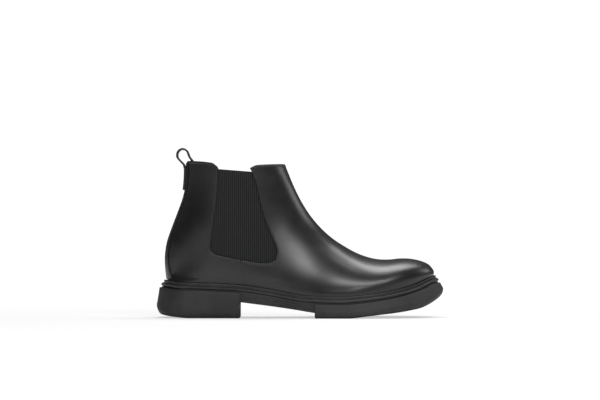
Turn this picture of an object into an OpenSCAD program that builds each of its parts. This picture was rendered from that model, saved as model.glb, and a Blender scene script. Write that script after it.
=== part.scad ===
// Ankle-high elastic-sided boot, right foot, in millimetres.
// +X points to the toe, -Y is the outer (lateral) side, +Z is up, and the tread stands on z = 0.
// Every layer of the upper is a shell between two depths of one foot form, cut out by side-view outlines.

/* [Form] */
// Stations along the feather line of the foot form, from toe to heel
feather_steps = 30; // [20:1:40]
// Stations up the back of the foot form
back_steps = 12; // [8:1:18]
// Points from the feather line to the ridge on each side
side_steps = 12; // [8:1:16]

/* [Upper] */
// Thickness of the outer leather
leather_t = 1.6; // [1.2:0.1:1.6]
// Thickness of the lining
lining_t = 1.0; // [0.8:0.1:1.2]
// Thickness of the toe puff and the heel counter
stiffener_t = 1.0; // [0.8:0.1:1.0]
// Thickness of the elastic gore
gore_t = 1; // [0.8:0.1:1]
// How far the elastic runs on under the leather edges
gore_tuck = 6; // [4:0.5:8]
// Width of the turned-in lasting margin
margin_w = 14; // [10:1:16]

/* [Back strip and pull loop] */
// Thickness of the back strip
strip_t = 1.2; // [0.8:0.1:1.4]
// Thickness of the strap that makes the pull loop
strap_t = 2.0; // [1.6:0.1:2.2]
// Width of the strap
strap_w = 17; // [14:1:20]

/* [Sole] */
// Reach of the welt outside the upper
welt_reach = 5.2; // [4.4:0.2:6]
// Reach of the tread block and heel block outside the upper, at their top edge
block_reach = 7.2; // [6:0.2:7.4]
// How much the block walls flare out from top to bottom
block_flare = 2.8; // [1:0.2:3]
// Thickness of the insole board
board_t = 2.2; // [1.8:0.2:2.6]
// Thickness of the footbed
footbed_t = 3.4; // [2.4:0.2:4]
// Radius of a heel nail's shaft
nail_r = 1.2; // [1:0.1:1.5]
// Number of welt stitches
stitch_count = 130; // [90:10:150]

/* [Hidden] */

heel_x = -140.3; // rearmost point of the feather line
toe_x = 140.6; // foremost point of the feather line
foot_l = toe_x - heel_x;
heel_round = 30; // length of the round heel end of the plan
toe_round = 58; // length of the round toe end of the plan
breast_x = -62.7; // front face of the heel block
tread_x = 15.5; // rear face of the forefoot tread block
seam = [[-59.5, 10], [-61.9, 60]]; // side seam between vamp and quarter, [x, z]
top_z = 172; // the form runs on above the topline, which is cut later
layer_gap = 0.1; // glue line between layers

// Depths below the outer surface at which each layer starts
stiffener_d = leather_t + layer_gap;
lining_d = stiffener_d + stiffener_t + layer_gap;
inside_d = lining_d + lining_t;
gore_d = leather_t + layer_gap;

// Heights of the stack under the feather line
under_margin = -2; // underside of the turned-in upper
lip_top = -3.6; // welt's lip, where the stitches lie
welt_base = -6.2; // underside of the welt, top of the midsole
block_top = -7.8; // underside of the midsole over the blocks
board_z = under_margin + inside_d + layer_gap; // underside of the insole board
footbed_z = board_z + board_t + layer_gap; // underside of the footbed

// Feather line, [x, z]: where the upper meets the welt
feather = [[-151, 39.8], [-140.3, 39.4], [-128, 37.4], [-104, 36.6], [-63, 34.5], [-31, 29.8], [0, 24.2],
    [31, 22.2], [47, 22.3], [63, 23.6], [84, 26.3], [105, 30.4], [125, 36.6], [140.6, 43.6], [151, 44.8]];
// Underside of the tread, [x, z]: flat where it stands, with a rolled heel and toe spring
ground = [[-151, 9], [-147, 4.8], [-143, 3.2], [-136, 2], [-126, 0.8], [-116, 0], [-100, 0], [20, 0],
    [50, 0], [67, 1.8], [84, 3.9], [101, 5.9], [117, 8.6], [126, 10.6], [134, 14], [143, 19.2], [151, 25]];
// Underside of the midsole in the waist, [x, z]
waist_under = [[breast_x, 16.6], [-21, 11.2], [tread_x, 5.5]];
// Midline and half-width of the feather line in plan, [x, y]
plan_mid = [[-139, 0], [-110, 0], [-80, -1], [-50, -3.2], [-25, -4.6], [0, -5], [25, -3.8],
    [50, -1.2], [70, 0.8], [95, 3.2], [120, 5], [140.7, 6.5]];
plan_half = [[-139, 30], [-110, 30], [-80, 29.6], [-50, 28.8], [-25, 30], [0, 33.8], [25, 40],
    [50, 44.3], [70, 44.6], [95, 42], [120, 38], [140.7, 34]];
// Back curve, [z, x], and front ridge from the toe up to the topline, [index, [x, z]]
back_curve = [[34, -138.4], [46, -139.9], [58, -140.8], [68, -140.4], [80, -138.3], [96, -132.8],
    [112, -126.7], [124, -122.4], [134, -120], [148, -118.8], [172, -118.4]];
ridge_points = [[140.6, 44.2], [140.9, 47.6], [139.2, 51.2], [134.8, 55.8], [127, 59.2],
    [116, 61.5], [105, 61.8], [94, 60.7], [82, 61], [70, 63.6], [58, 68.3], [46, 75], [34.5, 82.6],
    [23.5, 92.2], [13.8, 103], [5.8, 114.3], [-1.2, 126.6], [-7.2, 139.2], [-12.2, 151.4], [-16.8, 163],
    [-20, 172]];
ridge = [for (i = [0:len(ridge_points) - 1]) [i, ridge_points[i]]];
// Which ridge point each station reaches. A station runs from 0 at the toe to 1 at the heel, and to 2 up the back
ridge_at = [[0, 0.3], [0.0043, 0.7], [0.0132, 1.3], [0.031, 2.3], [0.06, 3.4], [0.099, 4.5],
    [0.1455, 5.6], [0.199, 6.9], [0.26, 8.4], [0.324, 9.9], [0.396, 11.4], [0.4745, 12.8],
    [0.56, 13.9], [0.653, 14.8], [0.746, 15.45], [0.843, 16], [0.932, 16.4], [1, 16.7], [1.186, 17],
    [1.368, 17.35], [1.55, 17.9], [1.73, 18.6], [1.876, 19.3], [2, 20]];
// Greatest half-width of a section, how far it lies along the section in the forefoot, how far it lies
// from the ridge behind that, and how full the ridge side is
girth = [[0.35, 45], [0.4, 42.6], [0.45, 39.2], [0.5, 36.6], [0.55, 35.2], [0.6, 34.6], [0.7, 34.3],
    [0.8, 34.6], [0.9, 35.1], [1, 35.4], [1.1, 35.6], [1.3, 36], [1.6, 36], [1.9, 37.5], [2, 38]];
girth_at = [[0, 0.3], [0.3, 0.22], [0.4, 0.213], [0.5, 0.225]];
ridge_reach = [[0.5, 58], [0.6, 65.5], [0.7, 69.5], [0.8, 74], [0.9, 78], [1, 79.5], [1.1, 79], [1.3, 73.5],
    [1.6, 60], [2, 49]];
fullness = [[0, 2.2], [0.25, 2], [0.45, 1.7], [0.6, 1.75], [0.8, 2], [1, 2.1], [2, 2.3]];
heel_fullness = 2.6;
// Sideways place of the ridge, [station, y]
ridge_y = [[0, 6.5], [0.2, 5], [0.4, 3], [0.6, 1.5], [0.8, 0.5], [1, 0], [2, 0]];

// Side-view outline of the elastic gore, [x, z], from its top rear corner round the bottom
gore_rear = [[-85.6, 153.9], [-86.4, 140], [-87.6, 122], [-90.6, 101], [-93, 82], [-93.7, 73.2]];
gore_foot = [[-91.6, 68.8], [-87.4, 65.9], [-62.5, 60.1], [-46.9, 57.8], [-38, 56.8], [-30, 58], [-25.4, 61.2]];
gore_front = [[-23.6, 68], [-24.8, 75], [-29.4, 86], [-36.3, 103], [-41.4, 123.4], [-45.1, 140.1], [-49, 151]];
topline_rear = [[-86.4, 155.6], [-88.2, 159.2], [-92.6, 161.3], [-115, 163.4], [-135, 164.2]];
topline_front = [[-51.8, 155.6], [-46.4, 158.4], [-40, 159.2], [-16, 160.4], [20, 161.6]];

// Middle of the strap along the free loop, [x, z], from its outer root over the top to its inner end
loop_path = [[-121.4, 157.2], [-122.2, 160.2], [-125.3, 163.8], [-128.4, 167.6], [-128.7, 171.6],
    [-126.6, 175.1], [-122.9, 176.6], [-119.1, 175], [-117.3, 171.6], [-116.9, 168.6], [-116.3, 165.9]];
tail_low_z = 133.5; // bottom of the outer strap end
tail_high_z = 155.4; // top of the outer strap end, clear of the swinging loop
root_low_z = 146; // bottom of the inner strap end

// ---- curves ----

// Index of the stretch of points p that holds x
function stretch(p, x, i = 0) = i >= len(p) - 2 || x < p[i + 1][0] ? i : stretch(p, x, i + 1);
// Slope of the curve at point i
function slope(p, i) = let (a = max(i - 1, 0), b = min(i + 1, len(p) - 1))
    (p[b][1] - p[a][1]) / (p[b][0] - p[a][0]);
// Smooth curve through points [x, value], held level past its ends
function curve(p, at) = let (
        x = max(p[0][0], min(p[len(p) - 1][0], at)),
        i = stretch(p, x), w = p[i + 1][0] - p[i][0], t = (x - p[i][0]) / w)
    p[i][1] * (1 + 2 * t) * (1 - t) ^ 2 + p[i + 1][1] * t ^ 2 * (3 - 2 * t)
    + w * slope(p, i) * t * (1 - t) ^ 2 - w * slope(p, i + 1) * t ^ 2 * (1 - t);

// ---- plan of the sole: n is how far outside the feather line ----

function core_x(x, n) = heel_x + (x - heel_x + n) * foot_l / (foot_l + 2 * n);
function heel_end(x) = x >= heel_x + heel_round ? 1
    : sqrt(max(0, 1 - ((heel_x + heel_round - x) / heel_round) ^ 2));
function toe_end(x) = x <= toe_x - toe_round ? 1
    : sqrt(max(0, 1 - ((x - toe_x + toe_round) / toe_round) ^ 2.3));
function half_w(x, n) = let (c = core_x(x, n)) heel_end(c) * toe_end(c) * (curve(plan_half, c) + n);
function mid_y(x, n) = curve(plan_mid, core_x(x, n));

// ---- foot form: a point at station q, share s from base to ridge, side -1 or 1, depth d ----

function base_point(q, d) = q <= 1
    ? let (x = toe_x - d - q * (foot_l - 2 * d)) [x, curve(feather, x) + under_margin + d]
    : let (low = curve(feather, heel_x + d) + under_margin + d, z = low + (q - 1) * (top_z - low))
        [curve(back_curve, z) + d, z];
function ridge_point(q, d) = let (
        r = curve(ridge_at, q), p = curve(ridge, r),
        t = curve(ridge, min(r + 0.1, 20)) - curve(ridge, max(r - 0.1, 0)), n = [-t[1], t[0]] / norm(t),
        low = base_point(q, d)[1] + 1, e = p + d * n)
    [e[0], max(e[1], low)];
function section_half(q, s, d) = let (
        base = q <= 1 ? max(0.5, half_w(base_point(q, d)[0], -d)) : 0.5,
        w = max(base + 0.05, q < 0.35 ? base * (1 + 0.1 * q) : curve(girth, q) - d),
        c = q < 0.5 ? curve(girth_at, q) : 1 - curve(ridge_reach, q) / norm(ridge_point(q, d) - base_point(q, d)),
        a = c / (1 - (base / w) ^ 2) ^ (1 / heel_fullness))
    s >= c ? w * sqrt(max(0, 1 - ((s - c) / (1 - c)) ^ curve(fullness, q)))
    : w * sqrt(1 - ((c - s) / a) ^ heel_fullness);
function form_point(q, s, side, d) = let (
        b = base_point(q, d), r = ridge_point(q, d), p = b + s * (r - b),
        m = (1 - s) * (q <= 1 ? mid_y(b[0], -d) : 0) + s * curve(ridge_y, q))
    [p[0], m + side * section_half(q, s, d), p[1]];

stations = concat([for (i = [0:feather_steps]) (1 - cos(180 * i / feather_steps)) / 2],
    [for (i = [1:back_steps]) 1 + i / back_steps]);

// Closed skin over equal rings of points, with flat ends. Each ring runs the same way round
module skin(rings) {
    m = len(rings[0]);
    k = len(rings);
    polyhedron([for (r = rings) each r], concat(
        [for (i = [0:k - 2]) for (j = [0:m - 1]) let (a = i * m + j, b = i * m + (j + 1) % m)
            each [[a, b + m, b], [a, a + m, b + m]]],
        [[for (j = [0:m - 1]) j]], [[for (j = [m - 1:-1:0]) (k - 1) * m + j]]));
}

module foot_form(d) skin([for (q = stations) concat(
    [for (j = [0:side_steps]) form_point(q, (1 - cos(180 * j / side_steps)) / 2, -1, d)],
    [for (j = [side_steps - 1:-1:0]) form_point(q, (1 - cos(180 * j / side_steps)) / 2, 1, d)])]);

// Keeps the size, and marks a carved shell as one smooth mesh
module carved() resize([0, 0, 0]) children();

// Solid plan of the feather line moved out by n, between two heights
module plan_block(n, z0, z1) translate([0, 0, z0]) linear_extrude(z1 - z0) polygon(concat(
    [for (a = [0:7.2:180]) let (x = plan_x(a, n)) [x, mid_y(x, n) - half_w(x, n)]],
    [for (a = [172.8:-7.2:7.2]) let (x = plan_x(a, n)) [x, mid_y(x, n) + half_w(x, n)]]));
function plan_x(a, n) = (heel_x + toe_x) / 2 - cos(a) * (foot_l / 2 + n);

// Side-view outline made solid across one side of the boot (-1 or 1) or both (0)
module across(side) translate([0, side > 0 ? 80 : side < 0 ? 0 : 80, 0]) rotate([90, 0, 0])
    linear_extrude(side == 0 ? 160 : 80) children();

module layer(d, t) difference() {
    foot_form(d);
    foot_form(d + t);
}

// A layer's turned-in margin: the middle of its bottom is open
module open_bottom() difference() {
    children();
    plan_block(-margin_w, 0, 46);
}

// ---- outlines in side view ----

module vamp_outline() polygon(concat(seam,
    [for (i = [3:len(gore_foot) - 1]) gore_foot[i]], gore_front, topline_front, [[160, 120], [160, 10]]));
module quarter_outline() polygon(concat([for (p = seam) p - [layer_gap, 0]],
    [for (i = [2:-1:0]) gore_foot[i]], [for (i = [len(gore_rear) - 1:-1:0]) gore_rear[i]],
    topline_rear, [[-160, 100], [-160, 10]]));
module gore_outline() polygon(concat(gore_rear, gore_foot, gore_front));
module gore_panel_outline() intersection() {
    offset(r = gore_tuck, $fn = 24) gore_outline();
    polygon([[-120, 20], [0, 20], [0, 148.3], [-120, 157.4]]);
}
module counter_outline() polygon(
    [[-160, 10], [-85, 10], [-82, 34], [-88, 52], [-100, 68], [-122, 90], [-160, 96]]);
module puff_outline() polygon([[160, 10], [96, 10], [92, 34], [94, 52], [92, 70], [160, 80]]);

// ---- upper ----

module vamp() color([0.07, 0.07, 0.07]) carved() open_bottom() intersection() {
    layer(0, leather_t);
    across(0) vamp_outline();
}

module quarter(side) color([0.08, 0.08, 0.08]) carved() open_bottom() intersection() {
    layer(0, leather_t);
    across(side) quarter_outline();
}
module quarter_lateral() quarter(-1);
module quarter_medial() quarter(1);

// Strip over the back seam, flared at the foot
module back_strip() color([0.09, 0.09, 0.09]) carved() intersection() {
    layer(-strip_t, strip_t - layer_gap);
    translate([-160, 0, 0]) rotate([90, 0, 90]) linear_extrude(60) polygon([[-10.5, 162.4], [10.5, 162.4],
        [11, 130], [12.5, 80], [13.5, 58], [17, 40.2], [-17, 40.2], [-13.5, 58], [-12.5, 80], [-11, 130]]);
}

// Outer end of the pull strap, stitched down over the back strip
module pull_strap_tail() color([0.09, 0.09, 0.09]) carved() intersection() {
    layer(-strip_t - layer_gap - strap_t, strap_t);
    translate([-160, -strap_w / 2, tail_low_z]) cube([60, strap_w, tail_high_z - tail_low_z]);
}

// Inner end of the pull strap, stitched down inside the lining
module pull_strap_root() color([0.1, 0.1, 0.1]) carved() intersection() {
    layer(inside_d + layer_gap, strap_t);
    translate([-160, -strap_w / 2, root_low_z]) cube([60, strap_w, 163.9 - root_low_z]);
}

// Free part of the pull strap, bent over into a loop
function loop_spot(t, out) = let (
        p = [for (i = [0:len(loop_path) - 1]) [i, loop_path[i]]], e = len(loop_path) - 1,
        v = curve(p, min(t + 0.05, e)) - curve(p, max(t - 0.05, 0)))
    curve(p, t) + out * [-v[1], v[0]] / norm(v);
module pull_loop() color([0.1, 0.1, 0.1]) let (e = len(loop_path) - 1)
    translate([0, strap_w / 2, 0]) rotate([90, 0, 0]) linear_extrude(strap_w) polygon(concat(
        [for (t = [0:0.5:e]) loop_spot(t, strap_t / 2)], [for (t = [e:-0.5:0]) loop_spot(t, -strap_t / 2)]));

module gore(side) color([0.12, 0.12, 0.12]) carved() intersection() {
    layer(gore_d, gore_t);
    across(side) gore_panel_outline();
}
module gore_lateral() gore(-1);
module gore_medial() gore(1);

module toe_puff() color([0.85, 0.82, 0.74]) carved() open_bottom() intersection() {
    layer(stiffener_d, stiffener_t);
    across(0) puff_outline();
}

module heel_counter() color([0.72, 0.6, 0.45]) carved() open_bottom() intersection() {
    layer(stiffener_d, stiffener_t);
    across(0) counter_outline();
}

// Linings stop short of the gores, so the elastic shows inside too
module vamp_lining() color([0.25, 0.22, 0.2]) carved() open_bottom() intersection() {
    layer(lining_d, lining_t);
    across(0) vamp_outline();
}

module quarter_lining() color([0.22, 0.2, 0.18]) carved() open_bottom() intersection() {
    layer(lining_d, lining_t);
    across(0) quarter_outline();
}

// ---- sole ----

// Spread of n + 1 stations from 0 to 1, closer together at the round ends
function both_round(n) = [for (i = [0:n]) (1 - cos(180 * i / n)) / 2];
function start_round(n) = [for (i = [0:n]) 1 - cos(90 * i / n)];
function end_round(n) = [for (i = [0:n]) sin(90 * i / n)];

// Plate lofted along the boot. edge lists [n, height function] down the lateral edge, repeated on the medial
// one, and from and to give each end as [reach of the round end, or undef, x of a square end]
module plate(edge, spread, from = undef, to = undef) skin([for (u = spread) let (
        spots = [for (e = edge) let (
                n = e[0], x0 = is_undef(from) ? heel_x - n : from, x1 = is_undef(to) ? toe_x + n : to,
                x = x0 + u * (x1 - x0), h = max(0.6, half_w(x, n)))
            [x, mid_y(x, n), h, e[1](x)]])
    concat([for (p = spots) [p[0], p[1] - p[2], p[3]]],
        [for (i = [len(spots) - 1:-1:0]) let (p = spots[i]) [p[0], p[1] + p[2], p[3]]])]);

// Height of a layer dz over the feather line
function over(dz) = function(x) curve(feather, x) + dz;
function tread(dz) = function(x) max(0, curve(ground, x)) + dz;

module footbed() color([0.3, 0.27, 0.24]) plate([[-inside_d - 2.2, over(footbed_z + footbed_t)],
    [-inside_d - 0.8, over(footbed_z + footbed_t - 0.8)], [-inside_d - 0.6, over(footbed_z)]], both_round(26));

module heel_pad() color([0.9, 0.75, 0.3]) translate([0, 0, footbed_z + footbed_t + 0.1]) plate(
    [[-inside_d - 9, over(1.2)], [-inside_d - 8, over(0)]], start_round(12), to = -80);

nail_spots = [[-120, 0], [-108, -9], [-108, 9], [-86, -10.5], [-86, 8.5]];
rivet_spots = [[-70, -1.5], [-14, -4.5]];

module drilled(spots, r) difference() {
    children();
    for (p = spots) translate([p[0], p[1], -1]) cylinder(r = r, h = 80, $fn = 32);
}

module insole_board() color([0.62, 0.45, 0.3]) drilled(nail_spots, nail_r) drilled(rivet_spots, 1.5)
    plate([[-inside_d - 0.5, over(board_z + board_t)], [-inside_d - 0.3, over(board_z)]], both_round(26));

shank_from = -96;
shank_to = 8;
shank_w = 13;
shank_t = 1.4;
function shank_ring(x, w, low, high) = let (y = mid_y(x, 0), z = curve(feather, x))
    [[x, y - w / 2, z + high], [x, y - w / 2, z + low], [x, y + w / 2, z + low], [x, y + w / 2, z + high]];
module shank() color([0.55, 0.56, 0.58]) drilled(rivet_spots, 1.5) skin(
    [for (x = [shank_from:8:shank_to])
        shank_ring(x, shank_w, board_z - layer_gap - shank_t, board_z - layer_gap)]);

// Rivets that hold the shank to the insole board
module shank_rivets() color([0.6, 0.6, 0.55]) for (p = rivet_spots) let (z = curve(feather, p[0]))
    translate([p[0], p[1], z + board_z - layer_gap - shank_t])
        cylinder(r = 1.5, h = shank_t + board_t - 0.3, $fn = 32);

filler_n = -margin_w - 0.6;
module bottom_filler() color([0.7, 0.52, 0.34]) drilled(nail_spots, nail_r) difference() {
    plate([[filler_n, over(board_z - layer_gap)], [filler_n, over(under_margin - 0.1)],
        [-6.3, over(under_margin - 0.12)], [-6.2, over(welt_base + 0.05)]], both_round(26));
    skin([for (x = [shank_from - 0.5:8.0625:shank_to + 1]) shank_ring(x, shank_w + 0.6,
        board_z - layer_gap - shank_t - 0.3, board_z + 2)]);
}

// Storm welt: a bead against the upper, a groove, and a flat lip that takes the stitches
welt_profile = [[-6, under_margin - 0.1], [0.85, under_margin - 0.1], [0.95, -0.4], [1.5, 0], [2.3, -0.5],
    [2.5, -1.6], [2.2, -2.8], [2.5, lip_top], [welt_reach - 0.5, lip_top], [welt_reach, lip_top - 0.4],
    [welt_reach, welt_base + 0.4], [welt_reach - 0.4, welt_base], [-6, welt_base]];
function plan_spot(a, n) = let (x = plan_x(a, n)) [x, mid_y(x, n) - sign(sin(a)) * half_w(x, n)];
module round_sweep(profile, count) {
    m = len(profile);
    polyhedron([for (i = [0:count - 1]) for (p = profile) let (s = plan_spot(360 * i / count, p[0]))
            [s[0], s[1], curve(feather, s[0]) + p[1]]],
        [for (i = [0:count - 1]) for (j = [0:m - 1]) let (k = (i + 1) % count, l = (j + 1) % m)
            each [[i * m + j, k * m + l, i * m + l], [i * m + j, k * m + j, k * m + l]]]);
}
module welt() color([0.1, 0.1, 0.1]) round_sweep(welt_profile, 88);

// Lockstitches that show along the lip, one short bar each
module welt_thread() color([0.2, 0.2, 0.2]) for (i = [0:stitch_count - 1]) let (
        a = 360 * (i + 0.5) / stitch_count, p = plan_spot(a, 3.6), q = plan_spot(a + 1, 3.6), v = q - p)
    translate([p[0], p[1], curve(feather, p[0]) + lip_top + 0.5]) rotate([0, 0, atan2(v[1], v[0])])
        rotate([0, atan2(curve(feather, p[0]) - curve(feather, q[0]), norm(v)), 0])
            cube([2.6, 0.7, 0.5], center = true);

module midsole() color([0.13, 0.13, 0.13]) drilled(nail_spots, nail_r) difference() {
    plate([[4.2, over(welt_base - 0.5)], [4.6, over(welt_base - 0.9)], [4.6, over(block_top - 2.6)],
        [4.4, function(x) min(curve(waist_under, x), curve(feather, x) + block_top - 3)]], both_round(30));
    plate([[20, over(block_top)], [20, over(-60)]], start_round(20), to = breast_x);
    plate([[20, over(block_top)], [20, over(-60)]], end_round(22), from = tread_x);
}

// Outside edge of a block: flared wall, rounded foot
block_edge = [[block_reach - 0.8, over(block_top - 0.25)], [block_reach, over(block_top - 0.8)],
    [block_reach + block_flare, tread(6)], [block_reach + block_flare - 0.6, tread(2)],
    [block_reach + block_flare - 3, tread(0)]];
module forefoot_tread() color([0.15, 0.15, 0.15])
    plate(block_edge, end_round(22), from = tread_x + 0.1);
module heel_block() color([0.15, 0.15, 0.15]) drilled(nail_spots, nail_r)
    plate(block_edge, start_round(20), to = breast_x - 0.1);

// Nails from the insole board down into the heel block
module heel_nails() color([0.7, 0.68, 0.6]) for (p = nail_spots) let (z = curve(feather, p[0]) + board_z + board_t)
    translate([p[0], p[1], 12]) cylinder(r = nail_r, h = z - 12, $fn = 32);

vamp();
quarter_lateral();
quarter_medial();
back_strip();
pull_strap_tail();
pull_strap_root();
pull_loop();
gore_lateral();
gore_medial();
toe_puff();
heel_counter();
vamp_lining();
quarter_lining();
footbed();
heel_pad();
insole_board();
shank();
shank_rivets();
bottom_filler();
welt();
welt_thread();
midsole();
forefoot_tread();
heel_block();
heel_nails();
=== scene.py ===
"""Ankle-high elastic-sided boot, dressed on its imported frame."""
import logging
import math
from bisect import bisect_right
from collections.abc import Callable, Sequence
from dataclasses import dataclass, field
from enum import Enum
from functools import cached_property, lru_cache

import bmesh
import bpy
from mathutils import Matrix, Vector


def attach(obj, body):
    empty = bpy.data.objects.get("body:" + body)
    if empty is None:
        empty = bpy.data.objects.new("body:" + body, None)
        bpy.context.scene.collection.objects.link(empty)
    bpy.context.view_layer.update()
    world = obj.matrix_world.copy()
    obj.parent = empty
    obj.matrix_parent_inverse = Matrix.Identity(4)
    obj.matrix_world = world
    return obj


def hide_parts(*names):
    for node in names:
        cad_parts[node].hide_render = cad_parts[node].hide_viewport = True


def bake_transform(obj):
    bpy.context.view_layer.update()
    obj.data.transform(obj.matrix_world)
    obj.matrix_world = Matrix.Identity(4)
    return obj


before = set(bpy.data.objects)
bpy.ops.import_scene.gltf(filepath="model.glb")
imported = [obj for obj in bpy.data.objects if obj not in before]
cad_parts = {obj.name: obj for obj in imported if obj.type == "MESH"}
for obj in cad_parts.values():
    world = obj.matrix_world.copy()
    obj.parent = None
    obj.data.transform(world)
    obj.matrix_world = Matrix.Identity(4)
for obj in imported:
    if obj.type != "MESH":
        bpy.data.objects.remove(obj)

LOG = logging.getLogger("boot")
MM = 0.001
Pair = tuple[float, float]
Spots = list[list[Vector]]
BOOT = "boot"
EDGE_REACH = 12.0  # how far a sewn edge tells in the leather, in millimetres
SETTLING = 6  # passes that bring a point onto two cutting lines at once


class Side(Enum):
    """Sides of a right boot, by the sign of Y."""

    LATERAL = -1
    MEDIAL = 1


SIDES = (Side.LATERAL.value, Side.MEDIAL.value)


# ---- curves -------------------------------------------------------------------------------------


@dataclass(frozen=True)
class Curve:
    """Smooth curve through points, held level past its ends."""

    points: tuple[Pair, ...]

    @cached_property
    def starts(self) -> list[float]:
        """Returns where each stretch starts."""
        return [point[0] for point in self.points]

    def slope(self, spot: int) -> float:
        """Finds the slope at one of the points.

        Args:
            spot: Index of the point.

        Returns:
            Rise over run between the neighbours.
        """
        low, high = self.points[max(spot - 1, 0)], self.points[min(spot + 1, len(self.points) - 1)]
        return (high[1] - low[1]) / (high[0] - low[0])

    def __call__(self, at: float) -> float:
        """Reads the curve.

        Args:
            at: Place along the curve.

        Returns:
            Its value there.
        """
        at = max(self.points[0][0], min(self.points[-1][0], at))
        spot = min(max(bisect_right(self.starts, at) - 1, 0), len(self.points) - 2)
        (x0, y0), (x1, y1) = self.points[spot], self.points[spot + 1]
        width = x1 - x0
        part = (at - x0) / width
        return (y0 * (1 + 2 * part) * (1 - part) ** 2 + y1 * part ** 2 * (3 - 2 * part)
                + width * self.slope(spot) * part * (1 - part) ** 2
                - width * self.slope(spot + 1) * part ** 2 * (1 - part))


@dataclass(frozen=True)
class Track:
    """Straight stretches between points whose first number rises."""

    points: tuple[Pair, ...]

    @cached_property
    def starts(self) -> list[float]:
        """Returns where each stretch starts."""
        return [point[0] for point in self.points]

    def __call__(self, at: float) -> float:
        """Reads the track.

        Args:
            at: Place along the track.

        Returns:
            Its value there, level past the ends.
        """
        if at <= self.points[0][0]:
            return self.points[0][1]
        if at >= self.points[-1][0]:
            return self.points[-1][1]
        spot = bisect_right(self.starts, at) - 1
        (x0, y0), (x1, y1) = self.points[spot], self.points[spot + 1]
        return y0 + (y1 - y0) * (at - x0) / (x1 - x0)


def unit(value: float) -> float:
    """Returns the value, held between 0 and 1."""
    return max(0.0, min(1.0, value))


def early(count: int) -> list[float]:
    """Returns count + 1 places from 0 to 1, closest together near 0."""
    return [1 - math.cos(math.pi / 2 * step / count) for step in range(count + 1)]


def late(count: int) -> list[float]:
    """Returns count + 1 places from 0 to 1, closest together near 1."""
    return [math.sin(math.pi / 2 * step / count) for step in range(count + 1)]


def rising(points: Sequence[Pair]) -> Track:
    """Makes a track from points, leaving out any that step back.

    Args:
        points: Points in order.

    Returns:
        The track.
    """
    kept = [points[0]]
    for point in points[1:]:
        if point[0] > kept[-1][0] + 1e-6:
            kept.append(point)
    return Track(tuple(kept))


def rounded(points: Sequence[Pair], steps: int = 8) -> list[Pair]:
    """Rounds a line of points into a smooth path.

    Args:
        points: Corners of the line.
        steps: Stretches between two corners.

    Returns:
        The path's points.
    """
    made: list[Pair] = []
    last = len(points) - 1
    for spot in range(last):
        before, start = points[max(spot - 1, 0)], points[spot]
        end, after = points[spot + 1], points[min(spot + 2, last)]
        gap = math.dist(start, end)
        run_in = math.dist(before, start) + gap or 1
        run_out = math.dist(end, after) + gap or 1
        for step in range(steps):
            part = step / steps
            rise = part * (1 - part) ** 2
            fall = part ** 2 * (1 - part)
            blend = (1 + 2 * part) * (1 - part) ** 2
            made.append(tuple(start[k] * blend + end[k] * (1 - blend)
                              + gap * (end[k] - before[k]) / run_in * rise
                              - gap * (after[k] - start[k]) / run_out * fall for k in (0, 1)))
    made.append(tuple(points[-1]))
    return made


def shifted(path: Sequence[Pair], gap: float) -> list[Pair]:
    """Moves a path sideways, to its left where gap is above zero.

    Args:
        path: Points of the path.
        gap: How far it moves.

    Returns:
        The moved points.
    """
    made: list[Pair] = []
    for spot, (x, z) in enumerate(path):
        before, after = path[max(spot - 1, 0)], path[min(spot + 1, len(path) - 1)]
        run = math.dist(before, after) or 1
        made.append((x - gap * (after[1] - before[1]) / run, z + gap * (after[0] - before[0]) / run))
    return made


def off_line(spot: Pair, path: Sequence[Pair], most: float = EDGE_REACH) -> float:
    """Measures how far a spot is from a path.

    Args:
        spot: The spot.
        path: Points of the path.
        most: The greatest distance that matters.

    Returns:
        The distance, or most where it is further.
    """
    best = most
    x, z = spot
    for (x0, z0), (x1, z1) in zip(path, path[1:]):
        if min(x0, x1) - best > x or max(x0, x1) + best < x or min(z0, z1) - best > z or max(z0, z1) + best < z:
            continue
        run = (x1 - x0) ** 2 + (z1 - z0) ** 2 or 1e-9
        part = unit(((x - x0) * (x1 - x0) + (z - z0) * (z1 - z0)) / run)
        best = min(best, math.hypot(x - x0 - part * (x1 - x0), z - z0 - part * (z1 - z0)))
    return best


# ---- the foot form --------------------------------------------------------------------------------


@dataclass(frozen=True)
class Section:
    """One section of the foot form, from its base to its ridge, at one depth."""

    base: Pair
    ridge: Pair
    width: float
    crest: float
    sweep: float
    full: float
    mid_base: float
    mid_ridge: float
    heel_full: float = 2.6

    def half(self, share: float) -> float:
        """Finds the half-width part of the way up.

        Args:
            share: 0 at the base, 1 at the ridge.

        Returns:
            Half-width in millimetres.
        """
        if share >= self.crest:
            part = min(1.0, (share - self.crest) / (1 - self.crest))
            return self.width * math.sqrt(max(0.0, 1 - part ** self.full))
        return self.width * math.sqrt(max(0.0, 1 - ((self.crest - share) / self.sweep) ** self.heel_full))

    def share_at(self, y: float) -> float:
        """Finds the share whose half-width is y, on the base side.

        Args:
            y: Half-width in millimetres.

        Returns:
            The share from base to ridge.
        """
        return self.crest - self.sweep * max(0.0, 1 - (y / self.width) ** 2) ** (1 / self.heel_full)

    def spot(self, share: float, side: float) -> Vector:
        """Places a point of the section.

        Args:
            share: 0 at the base, 1 at the ridge.
            side: -1 on the lateral side, 1 on the medial side.

        Returns:
            The point in millimetres.
        """
        mid = (1 - share) * self.mid_base + share * self.mid_ridge
        return Vector((self.base[0] + share * (self.ridge[0] - self.base[0]), mid + side * self.half(share),
                       self.base[1] + share * (self.ridge[1] - self.base[1])))


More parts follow.
